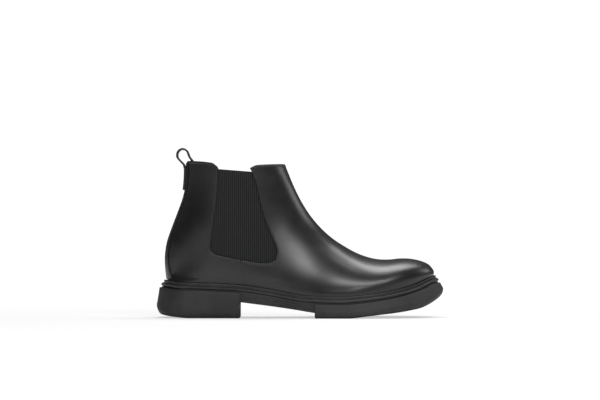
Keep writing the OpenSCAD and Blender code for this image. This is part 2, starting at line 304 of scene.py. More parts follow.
@dataclass(frozen=True)
class FootForm:
    """The shape of the foot that every layer of the upper follows, in millimetres."""

    heel_x: float = -140.3
    toe_x: float = 140.6
    heel_round: float = 30
    toe_round: float = 58
    toe_full: float = 2.3
    under_margin: float = -2
    top_z: float = 172
    feather: Curve = Curve(((-151, 39.8), (-140.3, 39.4), (-128, 37.4), (-104, 36.6), (-63, 34.5), (-31, 29.8),
                            (0, 24.2), (31, 22.2), (47, 22.3), (63, 23.6), (84, 26.3), (105, 30.4), (125, 36.6),
                            (140.6, 43.6), (151, 44.8)))
    middle: Curve = Curve(((-139, 0), (-110, 0), (-80, -1), (-50, -3.2), (-25, -4.6), (0, -5), (25, -3.8),
                           (50, -1.2), (70, 0.8), (95, 3.2), (120, 5), (140.7, 6.5)))
    breadth: Curve = Curve(((-139, 30), (-110, 30), (-80, 29.6), (-50, 28.8), (-25, 30), (0, 33.8), (25, 40),
                            (50, 44.3), (70, 44.6), (95, 42), (120, 38), (140.7, 34)))
    back: Curve = Curve(((34, -138.4), (46, -139.9), (58, -140.8), (68, -140.4), (80, -138.3), (96, -132.8),
                         (112, -126.7), (124, -122.4), (134, -120), (148, -118.8), (172, -118.4)))
    ridge: tuple[Pair, ...] = ((140.6, 44.2), (140.9, 47.6), (139.2, 51.2), (134.8, 55.8), (127, 59.2),
                               (116, 61.5), (105, 61.8), (94, 60.7), (82, 61), (70, 63.6), (58, 68.3), (46, 75),
                               (34.5, 82.6), (23.5, 92.2), (13.8, 103), (5.8, 114.3), (-1.2, 126.6), (-7.2, 139.2),
                               (-12.2, 151.4), (-16.8, 163), (-20, 172))
    ridge_at: Curve = Curve(((0, 0.3), (0.0043, 0.7), (0.0132, 1.3), (0.031, 2.3), (0.06, 3.4), (0.099, 4.5),
                             (0.1455, 5.6), (0.199, 6.9), (0.26, 8.4), (0.324, 9.9), (0.396, 11.4), (0.4745, 12.8),
                             (0.56, 13.9), (0.653, 14.8), (0.746, 15.45), (0.843, 16), (0.932, 16.4), (1, 16.7),
                             (1.186, 17), (1.368, 17.35), (1.55, 17.9), (1.73, 18.6), (1.876, 19.3), (2, 20)))
    girth: Curve = Curve(((0.35, 45), (0.4, 42.6), (0.45, 39.2), (0.5, 36.6), (0.55, 35.2), (0.6, 34.6), (0.7, 34.3),
                          (0.8, 34.6), (0.9, 35.1), (1, 35.4), (1.1, 35.6), (1.3, 36), (1.6, 36), (1.9, 37.5), (2, 38)))
    girth_at: Curve = Curve(((0, 0.3), (0.3, 0.22), (0.4, 0.213), (0.5, 0.225)))
    ridge_reach: Curve = Curve(((0.5, 58), (0.6, 65.5), (0.7, 69.5), (0.8, 74), (0.9, 78), (1, 79.5), (1.1, 79),
                                (1.3, 73.5), (1.6, 60), (2, 49)))
    fullness: Curve = Curve(((0, 2.2), (0.25, 2), (0.45, 1.7), (0.6, 1.75), (0.8, 2), (1, 2.1), (2, 2.3)))
    ridge_y: Curve = Curve(((0, 6.5), (0.2, 5), (0.4, 3), (0.6, 1.5), (0.8, 0.5), (1, 0), (2, 0)))
    shelf_steps: int = 320
    cell: float = 4.0
    blur: float = 9.0
    blur_rings: tuple[tuple[float, int], ...] = ((0.45, 6), (0.95, 10))
    toe_end: float = 0.35
    girth_from: float = 0.5
    eased: Pair = (0.22, 1.65)
    eased_fade: Pair = (0.1, 0.2)
    edge_keep: float = 7.0
    edge_fade: float = 11.0

    @property
    def length(self) -> float:
        """Returns the length of the feather line."""
        return self.toe_x - self.heel_x

    @cached_property
    def ridge_line(self) -> tuple[Curve, Curve]:
        """Returns the ridge's x and z over its point numbers."""
        return tuple(Curve(tuple((spot, point[k]) for spot, point in enumerate(self.ridge))) for k in (0, 1))

    def core(self, x: float, out: float) -> float:
        """Maps a place on an outline moved outwards to the feather line's own.

        Args:
            x: Place along the boot.
            out: How far the outline lies outside the feather line.

        Returns:
            The matching place on the feather line.
        """
        return self.heel_x + (x - self.heel_x + out) * self.length / (self.length + 2 * out)

    def half_width(self, x: float, out: float) -> float:
        """Finds the half-width of the plan.

        Args:
            x: Place along the boot.
            out: How far the outline lies outside the feather line.

        Returns:
            Half-width in millimetres.
        """
        at = self.core(x, out)
        heel = 1.0 if at >= self.heel_x + self.heel_round else \
            math.sqrt(max(0.0, 1 - ((self.heel_x + self.heel_round - at) / self.heel_round) ** 2))
        toe = 1.0 if at <= self.toe_x - self.toe_round else \
            math.sqrt(max(0.0, 1 - ((at - self.toe_x + self.toe_round) / self.toe_round) ** self.toe_full))
        return heel * toe * (self.breadth(at) + out)

    def mid(self, x: float, out: float) -> float:
        """Finds the midline of the plan.

        Args:
            x: Place along the boot.
            out: How far the outline lies outside the feather line.

        Returns:
            Its y in millimetres.
        """
        return self.middle(self.core(x, out))

    def base_spot(self, station: float, depth: float) -> Pair:
        """Places the base of a section.

        Args:
            station: 0 at the toe, 1 at the heel, 2 at the top of the back.
            depth: Depth under the outer surface.

        Returns:
            Its x and z.
        """
        if station <= 1:
            x = self.toe_x - depth - station * (self.length - 2 * depth)
            return x, self.feather(x) + self.under_margin + depth
        low = self.feather(self.heel_x + depth) + self.under_margin + depth
        z = low + (station - 1) * (self.top_z - low)
        return self.back(z) + depth, z

    def ridge_spot(self, station: float, depth: float) -> Pair:
        """Places the ridge end of a section.

        Args:
            station: 0 at the toe, 1 at the heel, 2 at the top of the back.
            depth: Depth under the outer surface.

        Returns:
            Its x and z.
        """
        at = self.ridge_at(station)
        line_x, line_z = self.ridge_line
        low, high = max(at - 0.1, 0), min(at + 0.1, 20)
        run = (line_x(high) - line_x(low), line_z(high) - line_z(low))
        size = math.hypot(*run)
        return (line_x(at) - depth * run[1] / size,
                max(line_z(at) + depth * run[0] / size, self.base_spot(station, depth)[1] + 1))

    @lru_cache(maxsize=100000)
    def section(self, station: float, depth: float) -> Section:
        """Works out one section.

        Args:
            station: 0 at the toe, 1 at the heel, 2 at the top of the back.
            depth: Depth under the outer surface.

        Returns:
            The section.
        """
        base, ridge = self.base_spot(station, depth), self.ridge_spot(station, depth)
        foot = max(0.5, self.half_width(base[0], -depth)) if station <= 1 else 0.5
        width = max(foot + 0.05, foot * (1 + 0.1 * station) if station < self.toe_end else self.girth(station) - depth)
        crest = (self.girth_at(station) if station < self.girth_from
                 else 1 - self.ridge_reach(station) / math.dist(ridge, base))
        return Section(base, ridge, width, crest, crest / (1 - (foot / width) ** 2) ** (1 / Section.heel_full),
                       self.fullness(station), self.mid(base[0], -depth) if station <= 1 else 0.0,
                       self.ridge_y(station))

    def spot(self, station: float, share: float, side: float, depth: float) -> Vector:
        """Places a point of the form.

        Args:
            station: 0 at the toe, 1 at the heel, 2 at the top of the back.
            share: 0 at the base, 1 at the ridge.
            side: -1 on the lateral side, 1 on the medial side.
            depth: Depth under the outer surface.

        Returns:
            The point in millimetres.
        """
        section = self.section(station, depth)
        made = section.spot(share, side)
        part, mean = self.easing(made.x, made.z, station)
        if part > 0:
            half = section.half(share) if depth == 0 else self.plain_half(made.x, made.z)[0]
            made.y += side * part * (mean - half)
        return made

    def plain_half(self, x: float, z: float) -> tuple[float, float]:
        """Finds the half-width of the outer surface at a place in side view.

        Args:
            x: Place along the boot.
            z: Height.

        Returns:
            The half-width, and how far the place is from the nearest end of its section.
        """
        station, share = self.locate(x, z, 0.0)
        at = station * self.shelf_steps / 2
        spot = min(int(at), self.shelf_steps - 1)
        low, high = self.shelf(0.0)[spot], self.shelf(0.0)[spot + 1]
        held = unit(share)
        half = low.half(held) + (high.half(held) - low.half(held)) * (at - spot)
        return half, min(share * 1.6, 1 - share) * math.dist(low.base, low.ridge)

    @lru_cache(maxsize=20000)
    def blurred(self, column: int, row: int) -> float:
        """Averages the half-width about a crossing of the side-view grid.

        Args:
            column: Number of the crossing along the boot.
            row: Number of the crossing up the boot.

        Returns:
            The averaged half-width.
        """
        x, z = column * self.cell, row * self.cell
        total, weight = 0.0, 0.0
        middle, room = self.plain_half(x, z)
        reach = max(0.5, min(self.blur, 0.7 * room))
        for ring, count in self.blur_rings:
            for step in range(count):
                turn = 2 * math.pi * step / count
                total += self.plain_half(x + ring * reach * math.cos(turn), z + ring * reach * math.sin(turn))[0]
                weight += 1
        return (total + 2 * middle) / (weight + 2)

    def easing(self, x: float, z: float, station: float) -> tuple[float, float]:
        """Finds the eased half-width that keeps the form free of creases, and how far it counts.

        Args:
            x: Place along the boot.
            z: Height.
            station: Station of the place.

        Returns:
            How far it counts, 0 to 1, and the eased half-width.
        """
        first, last = self.eased
        if not first < station < last:
            return 0.0, 0.0
        room = self.plain_half(x, z)[1]
        part = unit((room - self.edge_keep) / self.edge_fade)
        fade_in, fade_out = self.eased_fade
        part *= unit((station - first) / fade_in) * unit((last - station) / fade_out)
        if part <= 0:
            return 0.0, 0.0
        part = part * part * (3 - 2 * part)
        across, up = x / self.cell, z / self.cell
        column, row = math.floor(across), math.floor(up)

        def weights(rest: float) -> tuple[float, float, float, float]:
            """Returns the four weights of a smooth spline."""
            return ((1 - rest) ** 3 / 6, (3 * rest ** 3 - 6 * rest ** 2 + 4) / 6,
                    (-3 * rest ** 3 + 3 * rest ** 2 + 3 * rest + 1) / 6, rest ** 3 / 6)

        mean = sum(wide * tall * self.blurred(column + i - 1, row + j - 1)
                   for i, wide in enumerate(weights(across - column)) for j, tall in enumerate(weights(up - row)))
        return part, mean

    @lru_cache(maxsize=64)
    def shelf(self, depth: float) -> tuple[Section, ...]:
        """Lists the sections of one depth, from toe to the top of the back.

        Args:
            depth: Depth under the outer surface.

        Returns:
            The sections.
        """
        return tuple(self.section(2 * spot / self.shelf_steps, depth) for spot in range(self.shelf_steps + 1))

    def locate(self, x: float, z: float, depth: float) -> Pair:
        """Finds the station and share that lie at a place in side view.

        Args:
            x: Place along the boot.
            z: Height.
            depth: Depth under the outer surface.

        Returns:
            Station and share.
        """
        shelf = self.shelf(depth)

        def ahead(section: Section) -> float:
            """Returns how far the place is to one side of a section's line."""
            run = (section.ridge[0] - section.base[0], section.ridge[1] - section.base[1])
            return (run[0] * (z - section.base[1]) - run[1] * (x - section.base[0])) / math.hypot(*run)

        low, high = 0, len(shelf) - 1
        start = ahead(shelf[low])
        while high - low > 1:
            spot = (low + high) // 2
            if (ahead(shelf[spot]) > 0) == (start > 0):
                low = spot
            else:
                high = spot
        before, after = ahead(shelf[low]), ahead(shelf[high])
        part = unit(before / (before - after)) if before != after else 0.0
        base = [shelf[low].base[k] * (1 - part) + shelf[high].base[k] * part for k in (0, 1)]
        ridge = [shelf[low].ridge[k] * (1 - part) + shelf[high].ridge[k] * part for k in (0, 1)]
        run = (ridge[0] - base[0], ridge[1] - base[1])
        share = (run[0] * (x - base[0]) + run[1] * (z - base[1])) / (run[0] ** 2 + run[1] ** 2)
        return 2 * (low + part) / self.shelf_steps, share

    def wall(self, x: float, z: float, side: float, depth: float) -> Vector:
        """Places the point of the form seen at a place in side view.

        Args:
            x: Place along the boot.
            z: Height.
            side: -1 on the lateral side, 1 on the medial side.
            depth: Depth under the outer surface.

        Returns:
            The point in millimetres.
        """
        station, share = self.locate(x, z, depth)
        return self.spot(station, unit(share), side, depth)

    def rear(self, z: float, y: float, depth: float) -> Vector:
        """Places a point on the back of the form.

        Args:
            z: Height.
            y: Place across the boot.
            depth: Depth under the outer surface.

        Returns:
            The point in millimetres.
        """
        low = self.feather(self.heel_x + depth) + self.under_margin + depth
        aim = z
        made = Vector((0, 0, z))
        for _ in range(3):
            part = self.section(max(1.0, min(2.0, 1 + (aim - low) / (self.top_z - low))), depth)
            share = part.share_at(abs(y))
            made = Vector((part.base[0] + share * (part.ridge[0] - part.base[0]), y,
                           part.base[1] + share * (part.ridge[1] - part.base[1])))
            aim += z - made.z
        return made

    def rim(self, turn: float, out: float) -> Vector:
        """Places a point of the plan at the height of the feather line.

        Args:
            turn: Angle round the plan in radians, 0 at the heel.
            out: How far outside the feather line.

        Returns:
            The point in millimetres.
        """
        x = (self.heel_x + self.toe_x) / 2 - math.cos(turn) * (self.length / 2 + out)
        side = -1 if math.sin(turn) >= 0 else 1
        return Vector((x, self.mid(x, out) + side * self.half_width(x, out), self.feather(x)))


FORM = FootForm()


@dataclass(frozen=True)
class Pattern:
    """The cutting lines of the upper in side view."""

    seam: tuple[Pair, ...] = ((-59.5, 10), (-61.9, 60))
    gore_rear: tuple[Pair, ...] = ((-85.6, 153.9), (-86.4, 140), (-87.6, 122), (-90.6, 101), (-93, 82), (-93.7, 73.2))
    gore_foot: tuple[Pair, ...] = ((-91.6, 68.8), (-87.4, 65.9), (-62.5, 60.1), (-46.9, 57.8), (-38, 56.8), (-30, 58),
                                   (-25.4, 61.2))
    gore_front: tuple[Pair, ...] = ((-23.6, 68), (-24.8, 75), (-29.4, 86), (-36.3, 103), (-41.4, 123.4),
                                    (-45.1, 140.1), (-49, 151))
    top_rear: tuple[Pair, ...] = ((-86.4, 155.6), (-88.2, 159.2), (-92.6, 161.3), (-115, 163.4), (-135, 164.2))
    top_front: tuple[Pair, ...] = ((-51.8, 155.6), (-46.4, 158.4), (-40, 159.2), (-16, 160.4), (20, 161.6))
    gore_top: Track = Track(((-120, 157.4), (0, 148.3)))

    @cached_property
    def gore_edge(self) -> list[Pair]:
        """Returns the whole edge of the gore opening, from its rear top corner round the bottom."""
        return rounded(self.gore_rear + self.gore_foot + self.gore_front, 10)

    @cached_property
    def split(self) -> int:
        """Returns the number of the gore edge point where the side seam meets it."""
        return next(spot for spot, point in enumerate(self.gore_edge) if point[0] > -61.9 and point[1] < 70)

    @cached_property
    def front_edge(self) -> list[Pair]:
        """Returns the vamp's share of the gore edge, from the seam to the top."""
        return [(-61.9, self.gore_edge[self.split][1] + 0.05)] + self.gore_edge[self.split:] + [self.top_front[0]]

    @cached_property
    def rear_edge(self) -> list[Pair]:
        """Returns the quarter's share of the gore edge, from the seam to the top."""
        run = self.gore_edge[:self.split][::-1]
        return [(-62.0, run[0][1])] + run + [self.top_rear[0]]

    @cached_property
    def front_top(self) -> list[Pair]:
        """Returns the front topline, from the gore to past the ridge."""
        return rounded(self.top_front, 8)

    @cached_property
    def rear_top(self) -> list[Pair]:
        """Returns the rear topline, from the gore to past the back."""
        return rounded(self.top_rear, 8)

    @lru_cache(maxsize=64)
    def on_form(self, line: str, depth: float) -> list[Pair]:
        """Lists a cutting line's stations and shares.

        Args:
            line: Name of one of the lines above.
            depth: Depth under the outer surface.

        Returns:
            Pairs of station and share, at most 1 apart from the ridge.
        """
        if line == "seam":
            (x0, z0), (x1, z1) = self.seam
            top = self.rear_edge[0][1]
            low = FORM.feather(x0) + FORM.under_margin + depth
            run = [low + (top - low) * step / 12 for step in range(13)]
            return [FORM.locate(x0 + (x1 - x0) * (z - z0) / (z1 - z0), z, depth) for z in run]
        return [FORM.locate(x, z, depth) for x, z in getattr(self, line)]


CUT = Pattern()


# ---- mesh making ----------------------------------------------------------------------------------


def lay_grid(bm: bmesh.types.BMesh, spots: Spots, marks: list[list[float]] | None = None) -> None:
    """Lays a grid over rows of points.

    Args:
        bm: Mesh that gets the grid.
        spots: Rows of points in millimetres.
        marks: Each point's distance from a sewn edge, in millimetres.
    """
    rows, cols = len(spots), len(spots[0])
    layer = bm.verts.layers.float.get("edge") or bm.verts.layers.float.new("edge")
    made = bmesh.ops.create_grid(bm, x_segments=cols - 1, y_segments=rows - 1, size=0.5)["verts"]
    for vert in made:
        row, col = round((vert.co.y + 0.5) * (rows - 1)), round((vert.co.x + 0.5) * (cols - 1))
        vert.co = spots[row][col] * MM
        vert[layer] = marks[row][col] if marks else EDGE_REACH


def lay_loft(bm: bmesh.types.BMesh, rings: Spots, around: bool = False) -> None:
    """Lays a closed solid over rings of points.

    Args:
        bm: Mesh that gets the solid.
        rings: Rings of points in millimetres, each the same way round.
        around: Whether the last ring meets the first again.
    """
    part = bmesh.new()
    closed = [ring + [ring[0]] for ring in rings]
    lay_grid(part, closed + [closed[0]] if around else closed)
    bmesh.ops.remove_doubles(part, verts=part.verts, dist=2e-6)
    if not around:
        bmesh.ops.holes_fill(part, edges=part.edges, sides=0)
    bmesh.ops.recalc_face_normals(part, faces=part.faces)
    scrap = bpy.data.meshes.new("scrap")
    part.to_mesh(scrap)
    part.free()
    bm.from_mesh(scrap)
    bpy.data.meshes.remove(scrap)


def placed(name: str, data: bpy.types.ID) -> bpy.types.Object:
    """Makes an object and puts it in the scene.

    Args:
        name: Name of the object.
        data: Its mesh, light or camera.

    Returns:
        The object.
    """
    made = bpy.data.objects.new(name, data)
    bpy.context.scene.collection.objects.link(made)
    return made


@dataclass
class Piece:
    """Turns a bmesh into a finished object that rides on the boot."""

    name: str
    material: bpy.types.Material
    slot: str
    crease: float = 40.0

    def finish(self, bm: bmesh.types.BMesh, replaces: Sequence[str] = (), body: str | None = BOOT,
               core: Vector | None = None) -> bpy.types.Object:
        """Makes the object.

        Args:
            bm: The piece's mesh, in metres.
            replaces: CAD nodes that the piece stands for.
            body: Body that it rides on, or None to attach it to no body.
            core: A point inside the boot in millimetres, which faces turn away from.

        Returns:
            The object.
        """
        bmesh.ops.remove_doubles(bm, verts=bm.verts, dist=3e-6)
        bmesh.ops.dissolve_degenerate(bm, edges=bm.edges, dist=1e-6)
        bmesh.ops.recalc_face_normals(bm, faces=bm.faces)
        if core is not None:
            lean = sum((face.calc_center_median() - core * MM).dot(face.normal) * face.calc_area()
                       for face in bm.faces)
            if lean < 0:
                bmesh.ops.reverse_faces(bm, faces=bm.faces)
        mesh = bpy.data.meshes.new(self.name)
        bm.to_mesh(mesh)
        bm.free()
        mesh.materials.append(self.material)
        piece = placed(self.name, mesh)
        mesh.shade_smooth()
        mesh.set_sharp_from_angle(angle=math.radians(self.crease))
        if body:
            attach(piece, body)
        if replaces:
            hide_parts(*replaces)
        LOG.info("%s: %d faces", self.name, len(mesh.polygons))
        return piece


def thicken(piece: bpy.types.Object, wall: float, offset: float = -1.0) -> None:
    """Gives a sheet its thickness.

    Args:
        piece: The sheet.
        wall: Thickness in millimetres.
        offset: -1 inwards, 0 both ways, 1 outwards.
    """
    wrap = piece.modifiers.new("thickness", "SOLIDIFY")
    wrap.thickness = wall * MM
    wrap.offset = offset
    wrap.use_even_offset = False
    wrap.use_rim = True


def soften(piece: bpy.types.Object, width: float, steps: int = 2, angle: float = 50.0) -> None:
    """Rounds a piece's sharp edges.

    Args:
        piece: The piece.
        width: Width of the rounding in millimetres.
        steps: Faces across the rounding.
        angle: Sharpest angle in degrees that is left alone.
    """
    edge = piece.modifiers.new("rounding", "BEVEL")
    edge.width = width * MM
    edge.segments = steps
    edge.limit_method = "ANGLE"
    edge.angle_limit = math.radians(angle)
    edge.profile = 0.5
    edge.use_clamp_overlap = True
    edge.harden_normals = False


# ---- stitches -------------------------------------------------------------------------------------


@dataclass
class Stitching:
    """A run of lockstitches lying on a surface."""

    pitch: float = 2.9
    thread: float = 0.5
    fill: float = 0.78
    rise: float = 0.16

    def along(self, bm: bmesh.types.BMesh, path: Sequence[Vector], outs: Sequence[Vector]) -> None:
        """Sews along a path.

        Args:
            bm: Mesh that gets the stitches.
            path: Points of the path in millimetres.
            outs: Direction away from the surface at each point.
        """
        reach = [0.0]
        for before, after in zip(path, path[1:]):
            reach.append(reach[-1] + (after - before).length)
        count = max(1, round(reach[-1] / self.pitch))
        step = reach[-1] / count
        for stitch in range(count):
            mid, run, out = self.read(path, outs, reach, (stitch + 0.5) * step)
            side = out.cross(run).normalized()
            out = run.cross(side).normalized()
            turn = Matrix((run, side, out)).transposed().to_4x4()
            place = Matrix.Translation((mid + out * self.rise * self.thread) * MM) @ turn
            size = Matrix.Diagonal((step * self.fill / 2 * MM, self.thread / 2 * MM, self.thread * 0.4 * MM, 1))
            bmesh.ops.create_uvsphere(bm, u_segments=6, v_segments=4, radius=1, matrix=place @ size)

    def read(self, path: Sequence[Vector], outs: Sequence[Vector], reach: list[float],
             at: float) -> tuple[Vector, Vector, Vector]:
        """Reads the path at a length.

        Args:
            path: Points of the path.
            outs: Direction away from the surface at each point.
            reach: Length of the path up to each point.
            at: Length to read at.

        Returns:
            The place, the path's direction and the direction away from the surface.
        """
        spot = min(max(bisect_right(reach, at) - 1, 0), len(path) - 2)
        part = (at - reach[spot]) / ((reach[spot + 1] - reach[spot]) or 1)
        run = (path[spot + 1] - path[spot]).normalized()
        out = outs[spot].lerp(outs[spot + 1], part)
        return path[spot].lerp(path[spot + 1], part), run, out.normalized()


def wall_run(line: Sequence[Pair], side: float, depth: float) -> tuple[list[Vector], list[Vector]]:
    """Lays a side-view line on the form.

    Args:
        line: Points of the line.
        side: -1 on the lateral side, 1 on the medial side.
        depth: Depth under the outer surface.

    Returns:
        The points on the form, and the direction outwards at each.
    """
    path: list[Vector] = []
    outs: list[Vector] = []
    for x, z in line:
        path.append(FORM.wall(x, z, side, depth))
        along = FORM.wall(x + 1, z, side, depth) - FORM.wall(x - 1, z, side, depth)
        up = FORM.wall(x, z + 1, side, depth) - FORM.wall(x, z - 1, side, depth)
        out = along.cross(up).normalized()
        outs.append(out if out.y * side > 0 else -out)
    return path, outs


# ---- finishes -------------------------------------------------------------------------------------


@dataclass
class Wiring:
    """Adds and joins the nodes of one tree."""

    tree: bpy.types.NodeTree
    column: int = 0

    def node(self, kind: str, **settings: object) -> bpy.types.Node:
        """Adds a node.

        Args:
            kind: Blender's name of the node type.
            settings: Properties to set on it.

        Returns:
            The node.
        """
        made = self.tree.nodes.new(kind)
        made.location = (self.column * 190, 0)
        self.column += 1
        for key, value in settings.items():
            setattr(made, key, value)
        return made

    def join(self, start: bpy.types.NodeSocket, end: bpy.types.NodeSocket) -> None:
        """Joins two sockets."""
        self.tree.links.new(start, end)

    def feed(self, socket: bpy.types.NodeSocket, value: object) -> None:
        """Joins a socket to another, or sets it to a value."""
        if isinstance(value, bpy.types.NodeSocket):
            self.join(value, socket)
        else:
            socket.default_value = value

    def math(self, kind: str, first: object, second: object = 0.0, third: object = 0.0) -> bpy.types.NodeSocket:
        """Adds a sum.

        Args:
            kind: Kind of sum, such as MULTIPLY.
            first: First value or socket.
            second: Second value or socket.
            third: Third value or socket.

        Returns:
            Socket with the result.
        """
        made = self.node("ShaderNodeMath", operation=kind)
        for socket, value in zip(made.inputs, (first, second, third)):
            self.feed(socket, value)
        return made.outputs[0]

    def times(self, first: object, second: object) -> bpy.types.NodeSocket:
        """Multiplies two values or sockets."""
        return self.math("MULTIPLY", first, second)

    def plus(self, first: object, second: object) -> bpy.types.NodeSocket:
        """Adds two values or sockets."""
        return self.math("ADD", first, second)

    def ramp(self, value: bpy.types.NodeSocket, stops: Sequence[Pair], smooth: bool = True) -> bpy.types.NodeSocket:
        """Maps a value through grey stops.

        Args:
            value: Socket to map.
            stops: Pairs of position and grey, both 0 to 1.
            smooth: Whether the stops are eased.

        Returns:
            Socket with the mapped value.
        """
        made = self.node("ShaderNodeValToRGB")
        ramp = made.color_ramp
        ramp.interpolation = "EASE" if smooth else "LINEAR"
        while len(ramp.elements) < len(stops):
            ramp.elements.new(0.5)
        for element, (spot, grey) in zip(ramp.elements, stops):
            element.position = spot
            element.color = (grey, grey, grey, 1)
        self.join(value, made.inputs[0])
        return made.outputs[0]

    def mix(self, factor: object, first: object, second: object) -> bpy.types.NodeSocket:
        """Mixes two colours.

        Args:
            factor: 0 for the first, 1 for the second.
            first: First colour or socket.
            second: Second colour or socket.

        Returns:
            Socket with the mixed colour.
        """
        made = self.node("ShaderNodeMix", data_type="RGBA")
        self.feed(made.inputs[0], factor)
        self.feed(made.inputs[6], first)
        self.feed(made.inputs[7], second)
        return made.outputs[2]

    def noise(self, place: bpy.types.NodeSocket, scale: object, detail: float = 4.0,
              rough: float = 0.55) -> bpy.types.NodeSocket:
        """Adds a noise pattern.

        Args:
            place: Coordinates.
            scale: Repeats per metre.
            detail: Layers of finer noise.
            rough: Strength of the finer layers.

        Returns:
            Socket with the pattern, about 0.5 on average.
        """
        made = self.node("ShaderNodeTexNoise")
        self.join(place, made.inputs["Vector"])
        self.feed(made.inputs["Scale"], scale)
        made.inputs["Detail"].default_value = detail
        made.inputs["Roughness"].default_value = rough
        return made.outputs["Fac"]


@dataclass
class EffectGroup:
    """A shared effect as a node group with named inputs and outputs."""

    name: str
    inputs: Sequence[tuple[str, str, float]]
    outputs: Sequence[tuple[str, str]]
    build: Callable[[Wiring, bpy.types.Node, bpy.types.Node], None]

    @cached_property
    def tree(self) -> bpy.types.NodeTree:
        """Returns the node group, built on first use."""
        tree = bpy.data.node_groups.new(self.name, "ShaderNodeTree")
        for name, kind, value in self.inputs:
            socket = tree.interface.new_socket(name=name, in_out="INPUT", socket_type=kind)
            if kind == "NodeSocketFloat":
                socket.default_value = value
        for name, kind in self.outputs:
            tree.interface.new_socket(name=name, in_out="OUTPUT", socket_type=kind)
        wires = Wiring(tree)
        start = wires.node("NodeGroupInput")
        end = wires.node("NodeGroupOutput")
        self.build(wires, start, end)
        return tree

    def place(self, wires: Wiring, **values: object) -> bpy.types.Node:
        """Places the group in a material.

        Args:
            wires: The material's wiring.
            values: Values or sockets for its inputs, with spaces as underscores.

        Returns:
            The group node.
        """
        made = wires.node("ShaderNodeGroup", node_tree=self.tree)
        for key, value in values.items():
            wires.feed(made.inputs[key.replace("_", " ")], value)
        return made


def build_grain(wires: Wiring, start: bpy.types.Node, end: bpy.types.Node) -> None:
    """Wires a fine hide or moulded grain: pores with soft pebbles between.

    Args:
        wires: The group's wiring.
        start: The group's inputs.
        end: The group's outputs.
    """
    place = start.outputs["Place"]
    cells = wires.node("ShaderNodeTexVoronoi", feature="SMOOTH_F1")
    wires.join(place, cells.inputs["Vector"])
    wires.join(start.outputs["Scale"], cells.inputs["Scale"])
    fine = wires.noise(place, wires.times(start.outputs["Scale"], 2.3), 3, 0.6)
    broad = wires.noise(place, wires.times(start.outputs["Scale"], 0.035), 4, 0.55)
    pebbles = wires.times(cells.outputs["Distance"], start.outputs["Pebbles"])
    height = wires.plus(pebbles, wires.times(fine, 0.35))
    wires.join(height, end.inputs["Height"])
    wires.join(broad, end.inputs["Cloud"])
    wires.join(fine, end.inputs["Speckle"])


def build_sewn_edge(wires: Wiring, start: bpy.types.Node, end: bpy.types.Node) -> None:
    """Wires a folded edge: rounded over, pulled in by its stitch line, painted paler on the fold, partly as rub and
    partly as a painted highlight.

    Args:
        wires: The group's wiring.
        start: The group's inputs.
        end: The group's outputs.
    """
    mark = wires.node("ShaderNodeAttribute", attribute_name="edge", attribute_type="GEOMETRY")
    away = wires.math("DIVIDE", mark.outputs["Fac"], EDGE_REACH)
    fold = wires.ramp(away, ((0.0, 0.0), (0.05, 0.62), (0.1, 0.78), (0.15, 0.42), (0.2, 0.76), (0.34, 0.7)))
    # paler colour at the fold: partly rub, partly a painted highlight along the rounded edge
    rub_highlight = wires.ramp(away, ((0.0, 1.0), (0.06, 0.35), (0.14, 0.0)))
    breakup = wires.noise(start.outputs["Place"], 260.0, 3)
    wires.join(fold, end.inputs["Height"])
    wires.join(wires.times(rub_highlight, breakup), end.inputs["Rub_Highlight"])


def build_weave(wires: Wiring, start: bpy.types.Node, end: bpy.types.Node) -> None:
    """Wires crossed yarns.

    Args:
        wires: The group's wiring.
        start: The group's inputs.
        end: The group's outputs.
    """
    parts = wires.node("ShaderNodeSeparateXYZ")
    wires.join(start.outputs["Place"], parts.inputs[0])
    turn = wires.times(start.outputs["Scale"], 2 * math.pi)
    warp = wires.math("SINE", wires.times(wires.plus(parts.outputs[0], parts.outputs[1]), turn))
    weft = wires.math("SINE", wires.times(parts.outputs[2], turn))
    cross = wires.times(warp, weft)
    fuzz = wires.noise(start.outputs["Place"], wires.times(start.outputs["Scale"], 3.1), 3)
    height = wires.plus(wires.times(cross, 0.4), wires.times(fuzz, 0.5))
    wires.join(wires.plus(height, 0.4), end.inputs["Height"])
    wires.join(fuzz, end.inputs["Fuzz"])


FLOAT = "NodeSocketFloat"
GRAIN = EffectGroup("grain", (("Place", "NodeSocketVector", 0), ("Scale", FLOAT, 900), ("Pebbles", FLOAT, 1)),
                    (("Height", FLOAT), ("Cloud", FLOAT), ("Speckle", FLOAT)), build_grain)
SEWN_EDGE = EffectGroup("sewn_edge", (("Place", "NodeSocketVector", 0),), (("Height", FLOAT), ("Rub_Highlight", FLOAT)),
                        build_sewn_edge)
WEAVE = EffectGroup("weave", (("Place", "NodeSocketVector", 0), ("Scale", FLOAT, 900)),
                    (("Height", FLOAT), ("Fuzz", FLOAT)), build_weave)


